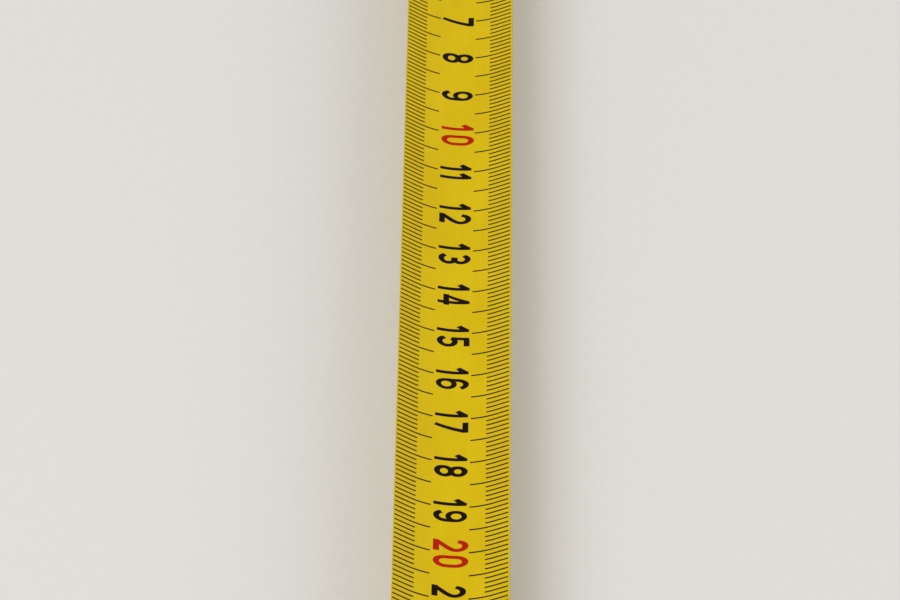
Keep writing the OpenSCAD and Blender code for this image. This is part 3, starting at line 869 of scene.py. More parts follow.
def corner(node: str, high: bool) -> Vector:
    """Gives a node's lowest or highest corner in millimetres.

    Args:
        node: Name of the node.
        high: Whether the highest is wanted.

    Returns:
        The corner.
    """
    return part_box(node)[1 if high else 0] / MM


def middle(node: str) -> Vector:
    """Gives the middle of a node's box in millimetres."""
    return (corner(node, False) + corner(node, True)) / 2


# ---------------------------------------------------------------- case


@dataclass
class Case(Assembly):
    """Two moulded halves with rubber grips, and the bumper."""

    wall: float = 2.2
    grip: float = 1.3
    roundings: tuple[float, ...] = (5, 7, 11, 15, 8)  # chin, nose, brow, back and heel
    side_rounding: float = 3.6
    nose_height: float = 20
    slope: float = 70  # degrees
    foot: float = 3  # height of the bare foot
    panel_radius: float = 20
    bridge: float = 3  # rubber between the round panel and the bare slope
    chin: float = 26  # length and height of the bare chin's step
    chin_rise: float = 11
    bare_roundings: tuple[float, ...] = (6, 3, 4)
    rubber_gap: float = 0.06
    cavity_radius: float = 26.87
    cavity_half: float = 11.5
    ring_wall: float = 1.4
    boss_radius: float = 2.9
    boss_step: float = 0.6  # from the spool's room to a boss
    boss_turns: tuple[float, ...] = (236, 135, 54)
    chin_boss: Point = (15.5, 4.4)  # behind the front, above the base
    screw_head: float = 2.4
    screw_radius: float = 1.3
    screw_head_height: float = 1.6
    screw_seat: float = 11.1  # distance of the heads' undersides from the parting plane
    insert_rise: float = 14.5  # of the belt clip's insert above the axis
    insert_radius: float = 2.3
    insert_low: float = 10.5
    seat_half: Point = (9, 5)  # half length and half height of the block under the clip
    lock_rise: float = 15.5  # up the slope from the nose to the lock
    lock_slot: Box = ((-8.8, -3.8, -4), (4.3, 3.8, 2))  # in the lock's own frame
    plate_low: Corner = (-11.8, -7.3, -7.05)  # room of the lock's plate, in the same frame
    plate_high: Point = (9.4, 7.3)
    mouth_half: float = 9.8
    mouth_low: float = 8
    mouth_high: float = 14.56
    mouth_depth: float = 13
    way_high: float = 14.6
    arm_way_back: float = 14
    arm_way_half: float = 7.3
    groove_depth: float = 0.6
    groove_step: float = 4
    groove_turn: int = 15  # degrees
    groove_radius: float = 1
    ring_steps: Point = (2, 4)  # from the panel's edge to each ring
    ring_thick: float = 0.45
    gap: float = 0.1
    chamfer: float = 0.3
    seam: float = 0.16
    seam_depth: float = 0.75
    shell_slivers: float = 0.004
    pad_slivers: float = 0.02
    past_side: float = 20  # Y beyond the side face
    past_parting: Box = ((-60, -10, -10), (60, 0, 80))  # all that lies over the parting plane
    front: float = field(init=False)
    back: float = field(init=False)
    height: float = field(init=False)
    half_width: float = field(init=False)
    clip_face: float = field(init=False)
    axis: Point = field(init=False)

    def __post_init__(self) -> None:
        """Reads the case's place from the frame."""
        low, high = corner("grip_left", False), corner("grip_left", True)
        self.front = corner("case_left", True).x
        self.back, self.half_width, self.height = low.x, high.y, high.z
        self.clip_face = corner("belt_clip", False).y
        post = middle("centre_post")
        self.axis = (post.x, post.z)

    @property
    def back_rounding(self) -> float:
        """Rounding of the back, the fourth corner of the outline."""
        return self.roundings[3]

    @property
    def slope_run(self) -> float:
        """How far the slope leans back over its height."""
        return (self.height - self.nose_height) / math.tan(math.radians(self.slope))

    @property
    def screws(self) -> list[Point]:
        """X and Z of the four case screws.

        Returns:
            The places, the chin's last.
        """
        reach = self.cavity_radius + self.boss_radius + self.boss_step
        turned = [(self.axis[0] + reach * math.cos(math.radians(a)),
                   self.axis[1] + reach * math.sin(math.radians(a))) for a in self.boss_turns]
        return turned + [(self.front - self.chin_boss[0], self.chin_boss[1])]

    def corners(self, grow: float = 0) -> list[Corner]:
        """Gives the side outline, grown all round.

        Args:
            grow: Growth in millimetres.

        Returns:
            X, Z and radius of each corner, anticlockwise from the chin.
        """
        plain = [(self.front, 0), (self.front, self.nose_height), (self.front - self.slope_run, self.height),
                 (self.back, self.height), (self.back, 0)]
        grown = []
        for i, here in enumerate(plain):
            at = Vector(here)
            before = (at - Vector(plain[i - 1])).normalized()
            after = (Vector(plain[(i + 1) % len(plain)]) - at).normalized()
            out = Vector((before.y, -before.x)) + Vector((after.y, -after.x))
            moved = at + out * grow / (1 + before.dot(after))
            grown.append((moved.x, moved.y, self.roundings[i] + grow))
        return grown

    def skin(self, name: str, grow: float, low: float) -> bpy.types.Object:
        """Makes the left half of the rounded body.

        Args:
            name: Name of the solid.
            grow: Growth from the full size.
            low: Y where it starts.

        Returns:
            The solid.
        """
        return prism(name, self.corners(grow), low, self.half_width + grow, steps=12,
                     rim=self.side_rounding)

    def bare(self, grow: float) -> bpy.types.Object:
        """Makes the prism of what stays free of rubber.

        Args:
            grow: Widening of the region.

        Returns:
            The solid.
        """
        lean = math.radians(self.slope)
        to_slope = (self.front - self.axis[0]) * math.sin(lean) \
            - (self.axis[1] - self.nose_height) * math.cos(lean)
        depth = (to_slope - self.panel_radius - self.bridge + grow) / math.sin(lean)
        beyond = 20
        top = self.height + beyond
        run = (top - self.nose_height) / math.tan(lean)
        chin = self.front - self.chin - grow
        foot = self.foot + grow
        nose, step, heel = self.bare_roundings
        corners = [
            (self.front + beyond, -beyond, 0), (self.front + beyond, top, 0),
            (self.front - depth - run, top, 0), (self.front - depth, self.nose_height, nose),
            (chin + self.chin_rise, foot + self.chin_rise, step), (chin, foot, heel),
            (self.back - beyond, foot, 0), (self.back - beyond, -beyond, 0)]
        return prism("bare", corners, -3 * PAST, self.half_width + 2 * PAST)

    def lock_matrix(self) -> Matrix:
        """Gives the frame of the lock's track.

        Returns:
            The move, whose X runs down the slope and whose Z stands out of it.
        """
        lean = math.radians(self.slope)
        at = ((self.front - self.lock_rise * math.cos(lean)) * MM, 0,
              (self.nose_height + self.lock_rise * math.sin(lean)) * MM)
        return Matrix.Translation(at) @ Matrix.Rotation(lean, 4, "Y")

    def hollow(self) -> bpy.types.Object:
        """Makes the room inside a half, with its ring wall and bosses left standing.

        Returns:
            The cutter.
        """
        far = self.cavity_half + PAST
        room = prism("room", self.corners(-self.wall - self.grip), -4 * PAST, self.cavity_half,
                     steps=10)
        ring = rod("ring", self.axis, self.cavity_radius + self.ring_wall, -6 * PAST, far, steps=96)
        for at in self.screws:
            carve(ring, rod("boss", at, self.boss_radius, -6 * PAST, far), Carve.JOIN)
        carve(ring, rod("inside", self.axis, self.cavity_radius, -7 * PAST, far + PAST, steps=96))
        carve(ring, block("way", (self.axis[0], -9 * PAST, self.mouth_low),
                          (self.front, self.mouth_half, self.way_high)))
        carve(ring, block("arm_way", (self.arm_way_back, -9 * PAST, self.mouth_low - PAST),
                          (self.front, self.arm_way_half, 2 * self.nose_height)))
        carve(room, ring)
        return room

    def parting_line(self) -> bpy.types.Object:
        """Makes the frame that steps a half's outer edge back, so that a fine line shows between the halves.

        Returns:
            The cutter.
        """
        line = prism("parting_line", self.corners(2 * PAST), -PAST, self.seam, steps=12)
        carve(line, prism("kept", self.corners(-self.seam_depth), -2 * PAST, PAST, steps=12))
        return line

    def openings(self) -> list[bpy.types.Object]:
        """Makes the cutters of the mouth, the bumper's seat, the lock's slot and the room of its plate.

        Returns:
            The cutters.
        """
        mouth = block("mouth", (self.front - self.mouth_depth, -self.mouth_half, self.mouth_low),
                      (self.front + PAST, self.mouth_half, self.mouth_high), rounding=1.4, along=0)
        low, high = corner("hook_bumper", False), corner("hook_bumper", True)
        seat = block("seat", (low.x - self.gap, low.y - self.gap, low.z - self.gap),
                     (self.front + PAST, high.y + self.gap, high.z + self.gap), rounding=1, along=0)
        slot = block("slot", *self.lock_slot, rounding=1.2, along=2)
        plate = block("plate", self.plate_low, (*self.plate_high, -self.wall))
        for tool in (slot, plate):
            tool.data.transform(self.lock_matrix())
        return [mouth, seat, slot, plate]

    def clip_seat(self, name: str, low: float, high: float, gap: float) -> bpy.types.Object:
        """Makes the block under the belt clip, or the room that the rubber leaves it.

        Args:
            name: Name of the solid.
            low: Y where it starts.
            high: Y where it ends.
            gap: Growth all round.

        Returns:
            The solid.
        """
        wide, tall = self.seat_half[0] + gap, self.seat_half[1] + gap
        x, z = self.axis[0], self.axis[1] + self.insert_rise
        return block(name, (x - wide, low, z - tall), (x + wide, high, z + tall), rounding=1)

    def shell(self, side: Side) -> bpy.types.Object:
        """Moulds one half of the case.

        Args:
            side: Which half.

        Returns:
            The dressed half.
        """
        shell = self.skin(f"{side.name.lower()}_shell", -self.grip, -2 * PAST)
        nose = self.skin("nose", 0, -2 * PAST)
        carve(nose, self.bare(0), Carve.KEEP)
        carve(shell, nose, Carve.JOIN)
        carve(shell, self.hollow())
        for tool in [*self.openings(), self.parting_line()]:
            carve(shell, tool)
        carve(shell, block("parting", *self.past_parting))
        if side is Side.LEFT:
            at = (self.axis[0], self.axis[1] + self.insert_rise)
            low = self.half_width - self.grip - PAST
            carve(shell, self.clip_seat("clip_seat", low, self.clip_face, 0), Carve.JOIN)
            carve(shell, rod("insert_bore", at, self.insert_radius, self.insert_low, self.clip_face + PAST))
        else:
            for at in self.screws:
                carve(shell, rod("sink", at, self.screw_head + self.gap, self.screw_seat, self.past_side))
                carve(shell, self.rim(at, self.screw_head + self.gap))
                carve(shell, rod("bore", at, self.screw_radius + self.gap, -PAST, self.past_side))
            self.mirror(shell)
        clean(shell, self.shell_slivers)
        soften(shell, 0)
        return self.hand_over(shell, CASE_ABS, Body.CASE, "case_plastic", [f"case_{side.name.lower()}"])

    def rim(self, at: Point, radius: float, steps: int = 64) -> bpy.types.Object:
        """Makes the cone that breaks the edge of a round opening in the side face.

        Args:
            at: X and Z of the opening's axis.
            radius: Radius of the opening.
            steps: Sides of the circle.

        Returns:
            The solid.
        """
        return rod("rim", at, radius, self.half_width - self.chamfer, self.half_width + self.chamfer, steps,
                   2 * self.chamfer)

    def mirror(self, obj: bpy.types.Object) -> None:
        """Turns a left piece into a right one.

        Args:
            obj: Piece to change.
        """
        bm = bmesh.new()
        bm.from_mesh(obj.data)
        place(bm, Matrix.Diagonal((1, -1, 1, 1)))
        bmesh.ops.reverse_faces(bm, faces=bm.faces)
        bm.to_mesh(obj.data)
        bm.free()

    def grooves(self) -> list[bpy.types.Object]:
        """Makes the cutters of the grooves across the back and the top and of the rings on the side.

        Returns:
            The cutters.
        """
        out = self.groove_radius - self.groove_depth
        turn = self.back_rounding
        turn_x, turn_z = self.back + turn, self.height - turn
        reach = turn + out
        spots = []
        z = turn_z - self.groove_step
        while z >= self.foot + 2 * self.groove_step:
            spots.append((self.back - out, z))
            z -= self.groove_step
        x = turn_x + self.groove_step
        while x <= self.front - self.slope_run - turn:
            spots.append((x, self.height + out))
            x += self.groove_step
        for degrees in range(90, 181, self.groove_turn):
            a = math.radians(degrees)
            spots.append((turn_x + reach * math.cos(a), turn_z + reach * math.sin(a)))
        tools = [rod("groove", at, self.groove_radius, -PAST, self.half_width + PAST, steps=24)
                 for at in spots]
        return tools + [self.ring_groove(self.panel_radius + step) for step in self.ring_steps]

    def ring_groove(self, radius: float) -> bpy.types.Object:
        """Makes a ring that cuts a round-bottomed groove in the side face.

        Args:
            radius: Radius of the ring.

        Returns:
            The solid.
        """
        bm = bmesh.new()
        made = bmesh.ops.create_circle(bm, cap_ends=False, segments=12, radius=self.ring_thick * MM)["verts"]
        place(bm, Matrix.Translation((radius * MM, 0, 0)) @ Matrix.Rotation(math.pi / 2, 4, "X"), made)
        bmesh.ops.spin(bm, geom=made + list(bm.edges), cent=(0, 0, 0), axis=(0, 0, 1), angle=2 * math.pi,
                       steps=96, use_merge=True)
        at = (self.axis[0] * MM, self.half_width * MM, self.axis[1] * MM)
        place(bm, Matrix.Translation(at) @ Matrix.Rotation(math.pi / 2, 4, "X"))
        return publish("ring_groove", bm)

    def pad(self, side: Side) -> bpy.types.Object:
        """Moulds one rubber grip.

        Args:
            side: Which half.

        Returns:
            The dressed grip.
        """
        pad = self.skin(f"{side.name.lower()}_grip_pad", 0, 0)
        carve(pad, self.skin("core", -self.grip, -2 * PAST))
        carve(pad, self.bare(self.rubber_gap))
        carve(pad, rod("panel", self.axis, self.panel_radius, -PAST, self.half_width + PAST, steps=96))
        carve(pad, self.rim(self.axis, self.panel_radius, steps=96))
        for tool in [*self.grooves(), self.parting_line()]:
            carve(pad, tool)
        if side is Side.LEFT:
            low, high = self.half_width - 3 * PAST, self.half_width + 2 * PAST
            carve(pad, self.clip_seat("seat_way", low, high, self.gap))
        else:
            for at in self.screws:
                carve(pad, rod("head_way", at, self.screw_head + self.gap, 0, self.half_width + 2 * PAST))
                carve(pad, self.rim(at, self.screw_head + self.gap))
            self.mirror(pad)
        clean(pad, self.pad_slivers)
        soften(pad, 0)
        return self.hand_over(pad, GRIP_RUBBER, Body.CASE, "grip_rubber", [f"grip_{side.name.lower()}"])

    def bumper(self) -> bpy.types.Object:
        """Makes the rubber bumper that stops the hook.

        Returns:
            The dressed bumper.
        """
        bumper = block("front_bumper", corner("hook_bumper", False), corner("hook_bumper", True),
                       rounding=1, along=0)
        soften(bumper, 0.35, steps=3)
        return self.hand_over(bumper, SHOE_RUBBER, Body.CASE, "shoe_rubber", ["hook_bumper"])

    def build(self) -> None:
        """Builds the case's pieces."""
        for side in Side:
            self.shell(side)
            self.pad(side)
        self.bumper()


# ---------------------------------------------------------------- screws


@dataclass
class Screws(Assembly):
    """Cross-head screws of the case and of the belt clip, and the hook's rivets."""

    case: Case
    recess_depth: float = 0.88
    recess_half: float = 0.32
    recess_reach: float = 0.62  # of the head's radius
    recess_turn: float = 20  # degrees
    case_turn: float = 0.9  # radians from one case screw's recess to the next one's
    clip_turn: float = 0.4  # radians
    case_tip: float = 10  # how far the case's screws reach into the left half
    clip_shank: float = 1.5  # radii and height of the clip's screw
    clip_head: float = 2.9
    clip_head_height: float = 1.5
    rivet_head: float = 1.8
    rivet_shank: float = 1

    def screw(self, name: str, radius: float, head: float, height: float, length: float) -> bpy.types.Object:
        """Turns one pan-head screw along Z, its head on top from Z = 0.

        Args:
            name: Name of the screw.
            radius: Radius of its shank.
            head: Radius of its head.
            height: Height of its head.
            length: Length of its shank.

        Returns:
            The screw.
        """
        profile = [(0, -length), (radius * 0.7, -length), (radius, -length + 0.5), (radius, 0), (head, 0),
                   (head, height * 0.55), (head * 0.93, height * 0.82), (head * 0.75, height * 0.97),
                   (head * 0.4, height), (0, height)]
        screw = publish(name, lathe(profile))
        for turn in (0, 90):
            reach = head * self.recess_reach
            arm = block("recess", (-reach, -self.recess_half, height - self.recess_depth),
                        (reach, self.recess_half, height + PAST), rounding=0.2, along=2)
            arm.data.transform(Matrix.Rotation(math.radians(turn + self.recess_turn), 4, "Z"))
            carve(screw, arm)
        soften(screw, 0, angle=FINE)
        return screw

    def case_screws(self) -> None:
        """Sets the four screws of the case, their heads to the right."""
        seat = self.case.screw_seat
        screws = self.screw("case_screws_set", self.case.screw_radius, self.case.screw_head,
                            self.case.screw_head_height, seat + self.case_tip)
        bm = bmesh.new()
        for i, (x, z) in enumerate(self.case.screws):
            turn = Matrix.Rotation(math.pi / 2, 4, "X") @ Matrix.Rotation(i * self.case_turn, 4, "Z")
            stamp(bm, screws.data, Matrix.Translation((x * MM, -seat * MM, z * MM)) @ turn)
        bm.to_mesh(screws.data)
        bm.free()
        soften(screws, 0, angle=FINE)
        self.hand_over(screws, SCREW_ZINC, Body.CASE, "zinc_steel", ["case_screws"])

    def clip_screw(self) -> None:
        """Sets the screw of the belt clip."""
        at, low = middle("clip_screw"), corner("clip_screw", False)
        seat = corner("clip_screw", True).y - self.clip_head_height
        screw = self.screw("belt_clip_screw", self.clip_shank, self.clip_head, self.clip_head_height,
                           seat - low.y)
        turn = Matrix.Rotation(-math.pi / 2, 4, "X") @ Matrix.Rotation(self.clip_turn, 4, "Z")
        screw.data.transform(Matrix.Translation((at.x * MM, seat * MM, at.z * MM)) @ turn)
        self.hand_over(screw, SCREW_ZINC, Body.CASE, "zinc_steel", ["clip_screw"])

    def rivets(self) -> None:
        """Sets the two domed rivets that hold the hook."""
        low, high = corner("hook_rivets", False), corner("hook_rivets", True)
        head, tail, top = self.rivet_head, self.rivet_head - 0.2, high.z
        profile = [(0, low.z), (head - 0.45, low.z), (tail, low.z + 0.18), (tail, low.z + 0.6),
                   (self.rivet_shank, low.z + 0.6), (self.rivet_shank, top - 0.78), (head, top - 0.78),
                   (head, top - 0.5), (head * 0.86, top - 0.24), (head * 0.55, top - 0.06),
                   (head * 0.25, top), (0, top)]
        rivet = cast("rivet", lathe(profile))
        bm = bmesh.new()
        for x in (low.x + head, high.x - head):
            stamp(bm, rivet, Matrix.Translation((x * MM, 0, 0)))
        bpy.data.meshes.remove(rivet)
        rivets = publish("hook_rivet_pair", bm)
        soften(rivets, 0, angle=FINE)
        self.hand_over(rivets, RIVET_NICKEL, Body.BLADE_END, "rivet_steel", ["hook_rivets"])

    def build(self) -> None:
        """Builds the screws and the rivets."""
        self.case_screws()
        self.clip_screw()
        self.rivets()


# ---------------------------------------------------------------- lock


@dataclass
class Lock(Assembly):
    """Thumb button with its neck, plate and brake arm."""

    case: Case
    length: float = 18
    width: float = 14
    height: float = 3
    base: float = 0.3
    dip_radius: float = 13
    dip: float = 1
    groove_radius: float = 0.5
    groove_turns: tuple[float, ...] = (-24, -16, -8, 0, 8, 16, 24)
    neck: Box = ((-4, -3.5, -2.9), (4, 3.5, 0.8))
    plate: Box = ((-7, -7, -3.85), (7, 7, -2.35))
    arm_start: Point = (6.8, 3.65)  # down the track and under it
    arm_radius: float = 21.5
    arm_width: float = 7
    arm_thick: float = 2.4
    arm_end: float = 0.4  # above the shoe
    foot_length: float = 4
    foot_height: float = 1.4

    def cap(self) -> bpy.types.Object:
        """Makes the dished cap with its grooves, in the lock's own frame.

        Returns:
            The cap.
        """
        half, wide = self.length / 2, self.width / 2
        cap = block("thumb_button", (-half, -wide, self.base), (half, wide, self.height),
                    rounding=2.2, along=2)
        centre = self.height + self.dip_radius - self.dip
        carve(cap, rod("dip", (0, centre), self.dip_radius, -self.width, self.width, steps=128))
        for turn in self.groove_turns:
            a = math.radians(turn)
            at = (self.dip_radius * math.sin(a), centre - self.dip_radius * math.cos(a))
            carve(cap, rod("groove", at, self.groove_radius, -self.width, self.width, steps=20))
        soften(cap, 0.3, steps=3, angle=50)
        return cap

    def arm(self) -> bpy.types.Object:
        """Makes the curved brake arm from the plate to the shoe, in the frame's axes.

        Returns:
            The arm.
        """
        lean = math.radians(self.case.slope)
        track = Vector((math.cos(lean), -math.sin(lean)))
        outward = Vector((math.sin(lean), math.cos(lean)))
        at = self.case.lock_matrix().translation / MM
        top = Vector((at.x, at.z)) + track * self.arm_start[0] - outward * self.arm_start[1]
        low = Vector((middle("lock_shoe").x, corner("lock_shoe", True).z + self.arm_end))
        span = (top - low).length
        along = (top - low) / span
        lift = math.sqrt(self.arm_radius ** 2 - (span / 2) ** 2)
        centre = (top + low) / 2 + lift * Vector((-along.y, along.x))
        start, end = low - centre, top - centre
        first = math.atan2(start.y, start.x)
        sweep = math.atan2(end.y, end.x) - first
        bm = bmesh.new()
        bmesh.ops.create_grid(bm, x_segments=1, y_segments=1, size=0.5)
        place(bm, Matrix.Diagonal((self.arm_thick * MM, self.arm_width * MM, 1, 1)))
        place(bm, Matrix.Translation((centre.x * MM, 0, centre.y * MM)) @ Matrix.Rotation(-first, 4, "Y")
              @ Matrix.Translation((self.arm_radius * MM, 0, 0)))
        bmesh.ops.spin(bm, geom=everything(bm), cent=(centre.x * MM, 0, centre.y * MM), axis=(0, -1, 0),
                       angle=sweep, steps=24)
        return publish("brake_arm", bm)

    def build(self) -> None:
        """Builds the button as one moulding."""
        button = self.cap()
        for low, high in (self.neck, self.plate):
            carve(button, block("stem", low, high, rounding=0.6, along=2), Carve.JOIN)
        button.data.transform(self.case.lock_matrix())
        carve(button, self.arm(), Carve.JOIN)
        shoe = corner("lock_shoe", True)
        foot = block("arm_foot", (shoe.x - self.foot_length, -self.arm_width / 2, shoe.z),
                     (shoe.x, self.arm_width / 2, shoe.z + self.foot_height), rounding=0.4)
        carve(button, foot, Carve.JOIN)
        soften(button, 0, angle=FINE)
        self.hand_over(button, LOCK_ABS, Body.LOCK, "button_plastic", ["lock_button"])


# ---------------------------------------------------------------- dish of the blade


@dataclass
class Dish:
    """The blade's section, an arc with straight wings: flat at the spool, fully dished from the guide on."""

    spool_x: float
    full_x: float
    radius: float = 14.7
    wing: float = 27.6  # degrees from the middle to where a wing starts
    low_z: float = 9.3  # Z of the underside in the middle of the blade
    thick: float = 0.14
    flattest: float = 0.02  # share of the dish at the spool, where a bend of nought has no radius

    def bend(self, bm: bmesh.types.BMesh) -> None:
        """Bends flat work into the dish: X runs along the blade, Y across it and Z up from its underside.

        Args:
            bm: Flat mesh in millimetres, which becomes metres.
        """
        bent = self.radius * math.radians(self.wing)
        for vert in bm.verts:
            x, across, up = vert.co
            share = min(max((x - self.spool_x) / (self.full_x - self.spool_x), self.flattest), 1)
            radius = self.radius / (share * share * (3 - 2 * share))
            angle = max(-bent, min(bent, across)) / radius
            past = across - angle * radius
            reach = radius - up
            vert.co = (x * MM, (reach * math.sin(angle) + past * math.cos(angle)) * MM,
                       (self.low_z + radius - reach * math.cos(angle) + past * math.sin(angle)) * MM)

    def height(self, y: float, up: float) -> float:
        """Gives Z of a surface that lies on the full dish.

        Args:
            y: Place across the blade.
            up: Distance of the surface from the blade's underside.

        Returns:
            Z in millimetres.
        """
        reach, lean = self.radius - up, math.radians(self.wing)
        bent = min(abs(y), reach * math.sin(lean))
        return self.low_z + self.radius - math.sqrt(reach ** 2 - bent ** 2) + (abs(y) - bent) * math.tan(lean)


# ---------------------------------------------------------------- end hook


@dataclass
class EndHook(Assembly):
    """Pressed hook: a tongue dished like the blade and a leg bent down at the zero of the scale."""

    thick: float = 0.9
    half_width: float = 8.5
    inner_bend: float = 0.35
    play: float = 0.03
    leg_rounding: float = 2
    columns: int = 44
    nail_low: float = 1.4
    nail_high: float = 5.6
    nail_half: float = 1
    rivet_places: Point = (4.1, 9.6)  # behind the zero
    rivet_half: float = 1.05
    rivet_way: Point = (7, 14)  # Z where the cutters of the rivets' slots start and end
    bend_steps: int = 6
    leg_steps: int = 8
    slivers: float = 0.01

    @property
    def zero(self) -> float:
        """X of the scale's zero, the leg's inner face."""
        return corner("end_hook", True).x - self.thick

    def rows(self) -> list[tuple[float, float, float, float]]:
        """Gives X, drop, half width and share of the leg for each row from the tongue's end down.

        Returns:
            The rows.
        """
        plan = [(-13, 2.6), (-12.8, 3.3), (-12.4, 3.85), (-11.5, 4.5), (-10, 5.0), (-7.5, 5.85), (-5.2, 6.6),
                (-4, 7.05), (-3, 7.65), (-2, 8.25), (-1.4, 8.45), (-self.inner_bend, self.half_width)]
        zero = self.zero
        rows = [(zero + x, 0.0, half, 0.0) for x, half in plan]
        for k in range(1, self.bend_steps + 1):
            a = math.pi / 2 * k / self.bend_steps
            rows.append((zero - self.inner_bend * (1 - math.sin(a)), self.inner_bend * (1 - math.cos(a)),
                         self.half_width, 0.0))
        rows += [(zero, self.inner_bend, self.half_width, k / self.leg_steps)
                 for k in range(1, self.leg_steps + 1)]
        return rows

    def sheet(self, low: float) -> bmesh.types.BMesh:
        """Presses the underside of the hook.

        Args:
            low: Z of the leg's lower end.

        Returns:
            The open mesh, facing up.
        """
        dish = Dish(0, 1)
        rows = self.rows()
        bm = bmesh.new()
        bmesh.ops.create_grid(bm, x_segments=len(rows) - 1, y_segments=self.columns, size=1)
        for vert in bm.verts:
            x, drop, half, leg = rows[round((vert.co.x + 1) / 2 * (len(rows) - 1))]
            y = math.sin(vert.co.y * math.pi / 2) * half
            top = dish.height(y, dish.thick + self.play) - drop
            past = max(abs(y) - (self.half_width - self.leg_rounding), 0)
            bottom = low + self.leg_rounding - math.sqrt(max(self.leg_rounding ** 2 - past ** 2, 0))
            vert.co = (x * MM, y * MM, (top + (bottom - top) * leg) * MM)
        bmesh.ops.recalc_face_normals(bm, faces=bm.faces)
        if sum(face.normal.z for face in bm.faces if abs(face.normal.z) > 0.9) < 0:
            bmesh.ops.reverse_faces(bm, faces=bm.faces)
        return bm

    def build(self) -> None:
        """Builds the hook from one sheet."""
        low, zero = corner("end_hook", False).z, self.zero
        hook = hang("pressed_hook", cast("pressed_hook", self.sheet(low)))
        wall(hook, self.thick, 1)
        carve(hook, block("nail_slot", (zero - 2 * PAST, -self.nail_half, low + self.nail_low),
                          (zero + self.thick + PAST, self.nail_half, low + self.nail_high),
                          rounding=self.nail_half - HAIR, along=0))
        half = self.rivet_half
        way_low, way_high = self.rivet_way
        for behind in self.rivet_places:
            x = zero - behind
            carve(hook, block("rivet_slot", (x - half, -half, way_low),
                              (x + half + self.thick, half, way_high), rounding=half - HAIR, along=2))
        clean(hook, self.slivers)
        soften(hook, 0.1)
        self.hand_over(hook, HOOK_NICKEL, Body.HOOK, "hook_steel", ["end_hook"])


# ---------------------------------------------------------------- belt clip


@dataclass
class BeltClip(Assembly):
    """Sprung steel strip on the left panel, bowed over a belt and flared at its lower end."""

    thick: float = 1.0
    width: float = 16
    end_rounding: float = 3
    end_steps: int = 8
    pad_length: float = 9  # of the flat top that is screwed on
    pinch: Point = (15.8, 9)  # Y where it grips the belt, and height above its lower end
    flare: float = 3

    def side_view(self) -> list[Point]:
        """Gives Y and Z of the strip's inner face from its top down.

        Returns:
            The points.
        """
        low, high = corner("belt_clip", False), corner("belt_clip", True)
        out = high.y - self.thick
        pad_low = high.z - self.pad_length
        pinch_y, pinch_z = self.pinch[0], low.z + self.pinch[1]
        points = [(low.y, high.z), (low.y, pad_low), (out - 0.3, pad_low - 3.6), (out, pad_low - 6),
                  (out, pinch_z + 9), (pinch_y, pinch_z), (pinch_y + self.flare, low.z)]
        return fillet(points, [0, 1.6, 1.2, 2, 7, 3.2, 0])

    def rows(self) -> list[tuple[Vector, Vector]]:
        """Gives the strip's two edges row by row. The corners of its lower end are round.

        Returns:
            The rows.
        """
        line = self.side_view()
        start, finish = line[-2:]
        places = [(y, z, self.width / 2) for y, z in line[:-1]]
        for k in range(1, self.end_steps + 1):
            a = math.radians(90 * k / self.end_steps)
            z = finish[1] + self.end_rounding * (1 - math.sin(a))
            share = (start[1] - z) / (start[1] - finish[1])
            y = start[0] + (finish[0] - start[0]) * share
            places.append((y, z, self.width / 2 - self.end_rounding * (1 - math.cos(a))))
        x = middle("belt_clip").x
        return [(Vector(((x - half) * MM, y * MM, z * MM)), Vector(((x + half) * MM, y * MM, z * MM)))
                for y, z, half in places]

    def build(self) -> None:
        """Builds the clip from one strip."""
        clip = publish("sprung_belt_clip", ribbon(self.rows()))
        outwards = sum(face.normal.y * face.area for face in clip.data.polygons)
        wall(clip, self.thick, 1 if outwards > 0 else -1)
        soften(clip, 0.18, steps=3)
        self.hand_over(clip, CLIP_STEEL, Body.CASE, "clip_steel", ["belt_clip"])


# ---------------------------------------------------------------- blade and its scale


@dataclass(frozen=True)
class Stroke:
    """One pen stroke of a numeral: its middle line in a box one unit high, and its width at both ends."""

    line: tuple[Point, ...]
    start: float = 0.178
    end: float = 0.178
    closed: bool = False

    def mesh(self) -> bmesh.types.BMesh:
        """Sweeps the pen along the line.

        Returns:
            The flat mesh, one unit high.
        """
        count = len(self.line)
        rows = []
        for i, here in enumerate(self.line):
            at = Vector(here)
            before = Vector(self.line[i - 1]) if i or self.closed else None
            after = Vector(self.line[(i + 1) % count]) if i < count - 1 or self.closed else None
            into = (at - before).normalized() if before else (after - at).normalized()
            out = (after - at).normalized() if after else into
            normal = (Vector((-into.y, into.x)) + Vector((-out.y, out.x))).normalized()
            stretch = 1 / max(normal.dot(Vector((-into.y, into.x))), 0.5)
            half = (self.start + (self.end - self.start) * i / max(count - 1, 1)) / 2 * stretch
            rows.append(((at + normal * half).to_3d(), (at - normal * half).to_3d()))
        return ribbon(rows, self.closed)


def arc(centre: Point, radii: Point, start: float, end: float, steps: int = 14) -> tuple[Point, ...]:
    """Gives points on part of an ellipse.

    Args:
        centre: Its centre.
        radii: Its radii.
        start: First angle in degrees, anticlockwise from the right.
        end: Last angle.
        steps: Segments.

    Returns:
        The points.
    """
    angles = [math.radians(start + (end - start) * k / steps) for k in range(steps + 1)]
    return tuple((centre[0] + radii[0] * math.cos(a), centre[1] + radii[1] * math.sin(a)) for a in angles)


def ring(*parts: tuple[Point, ...]) -> tuple[Point, ...]:
    """Joins lines into one closed line, without its repeated last point."""
    return sum(parts, ())[:-1]


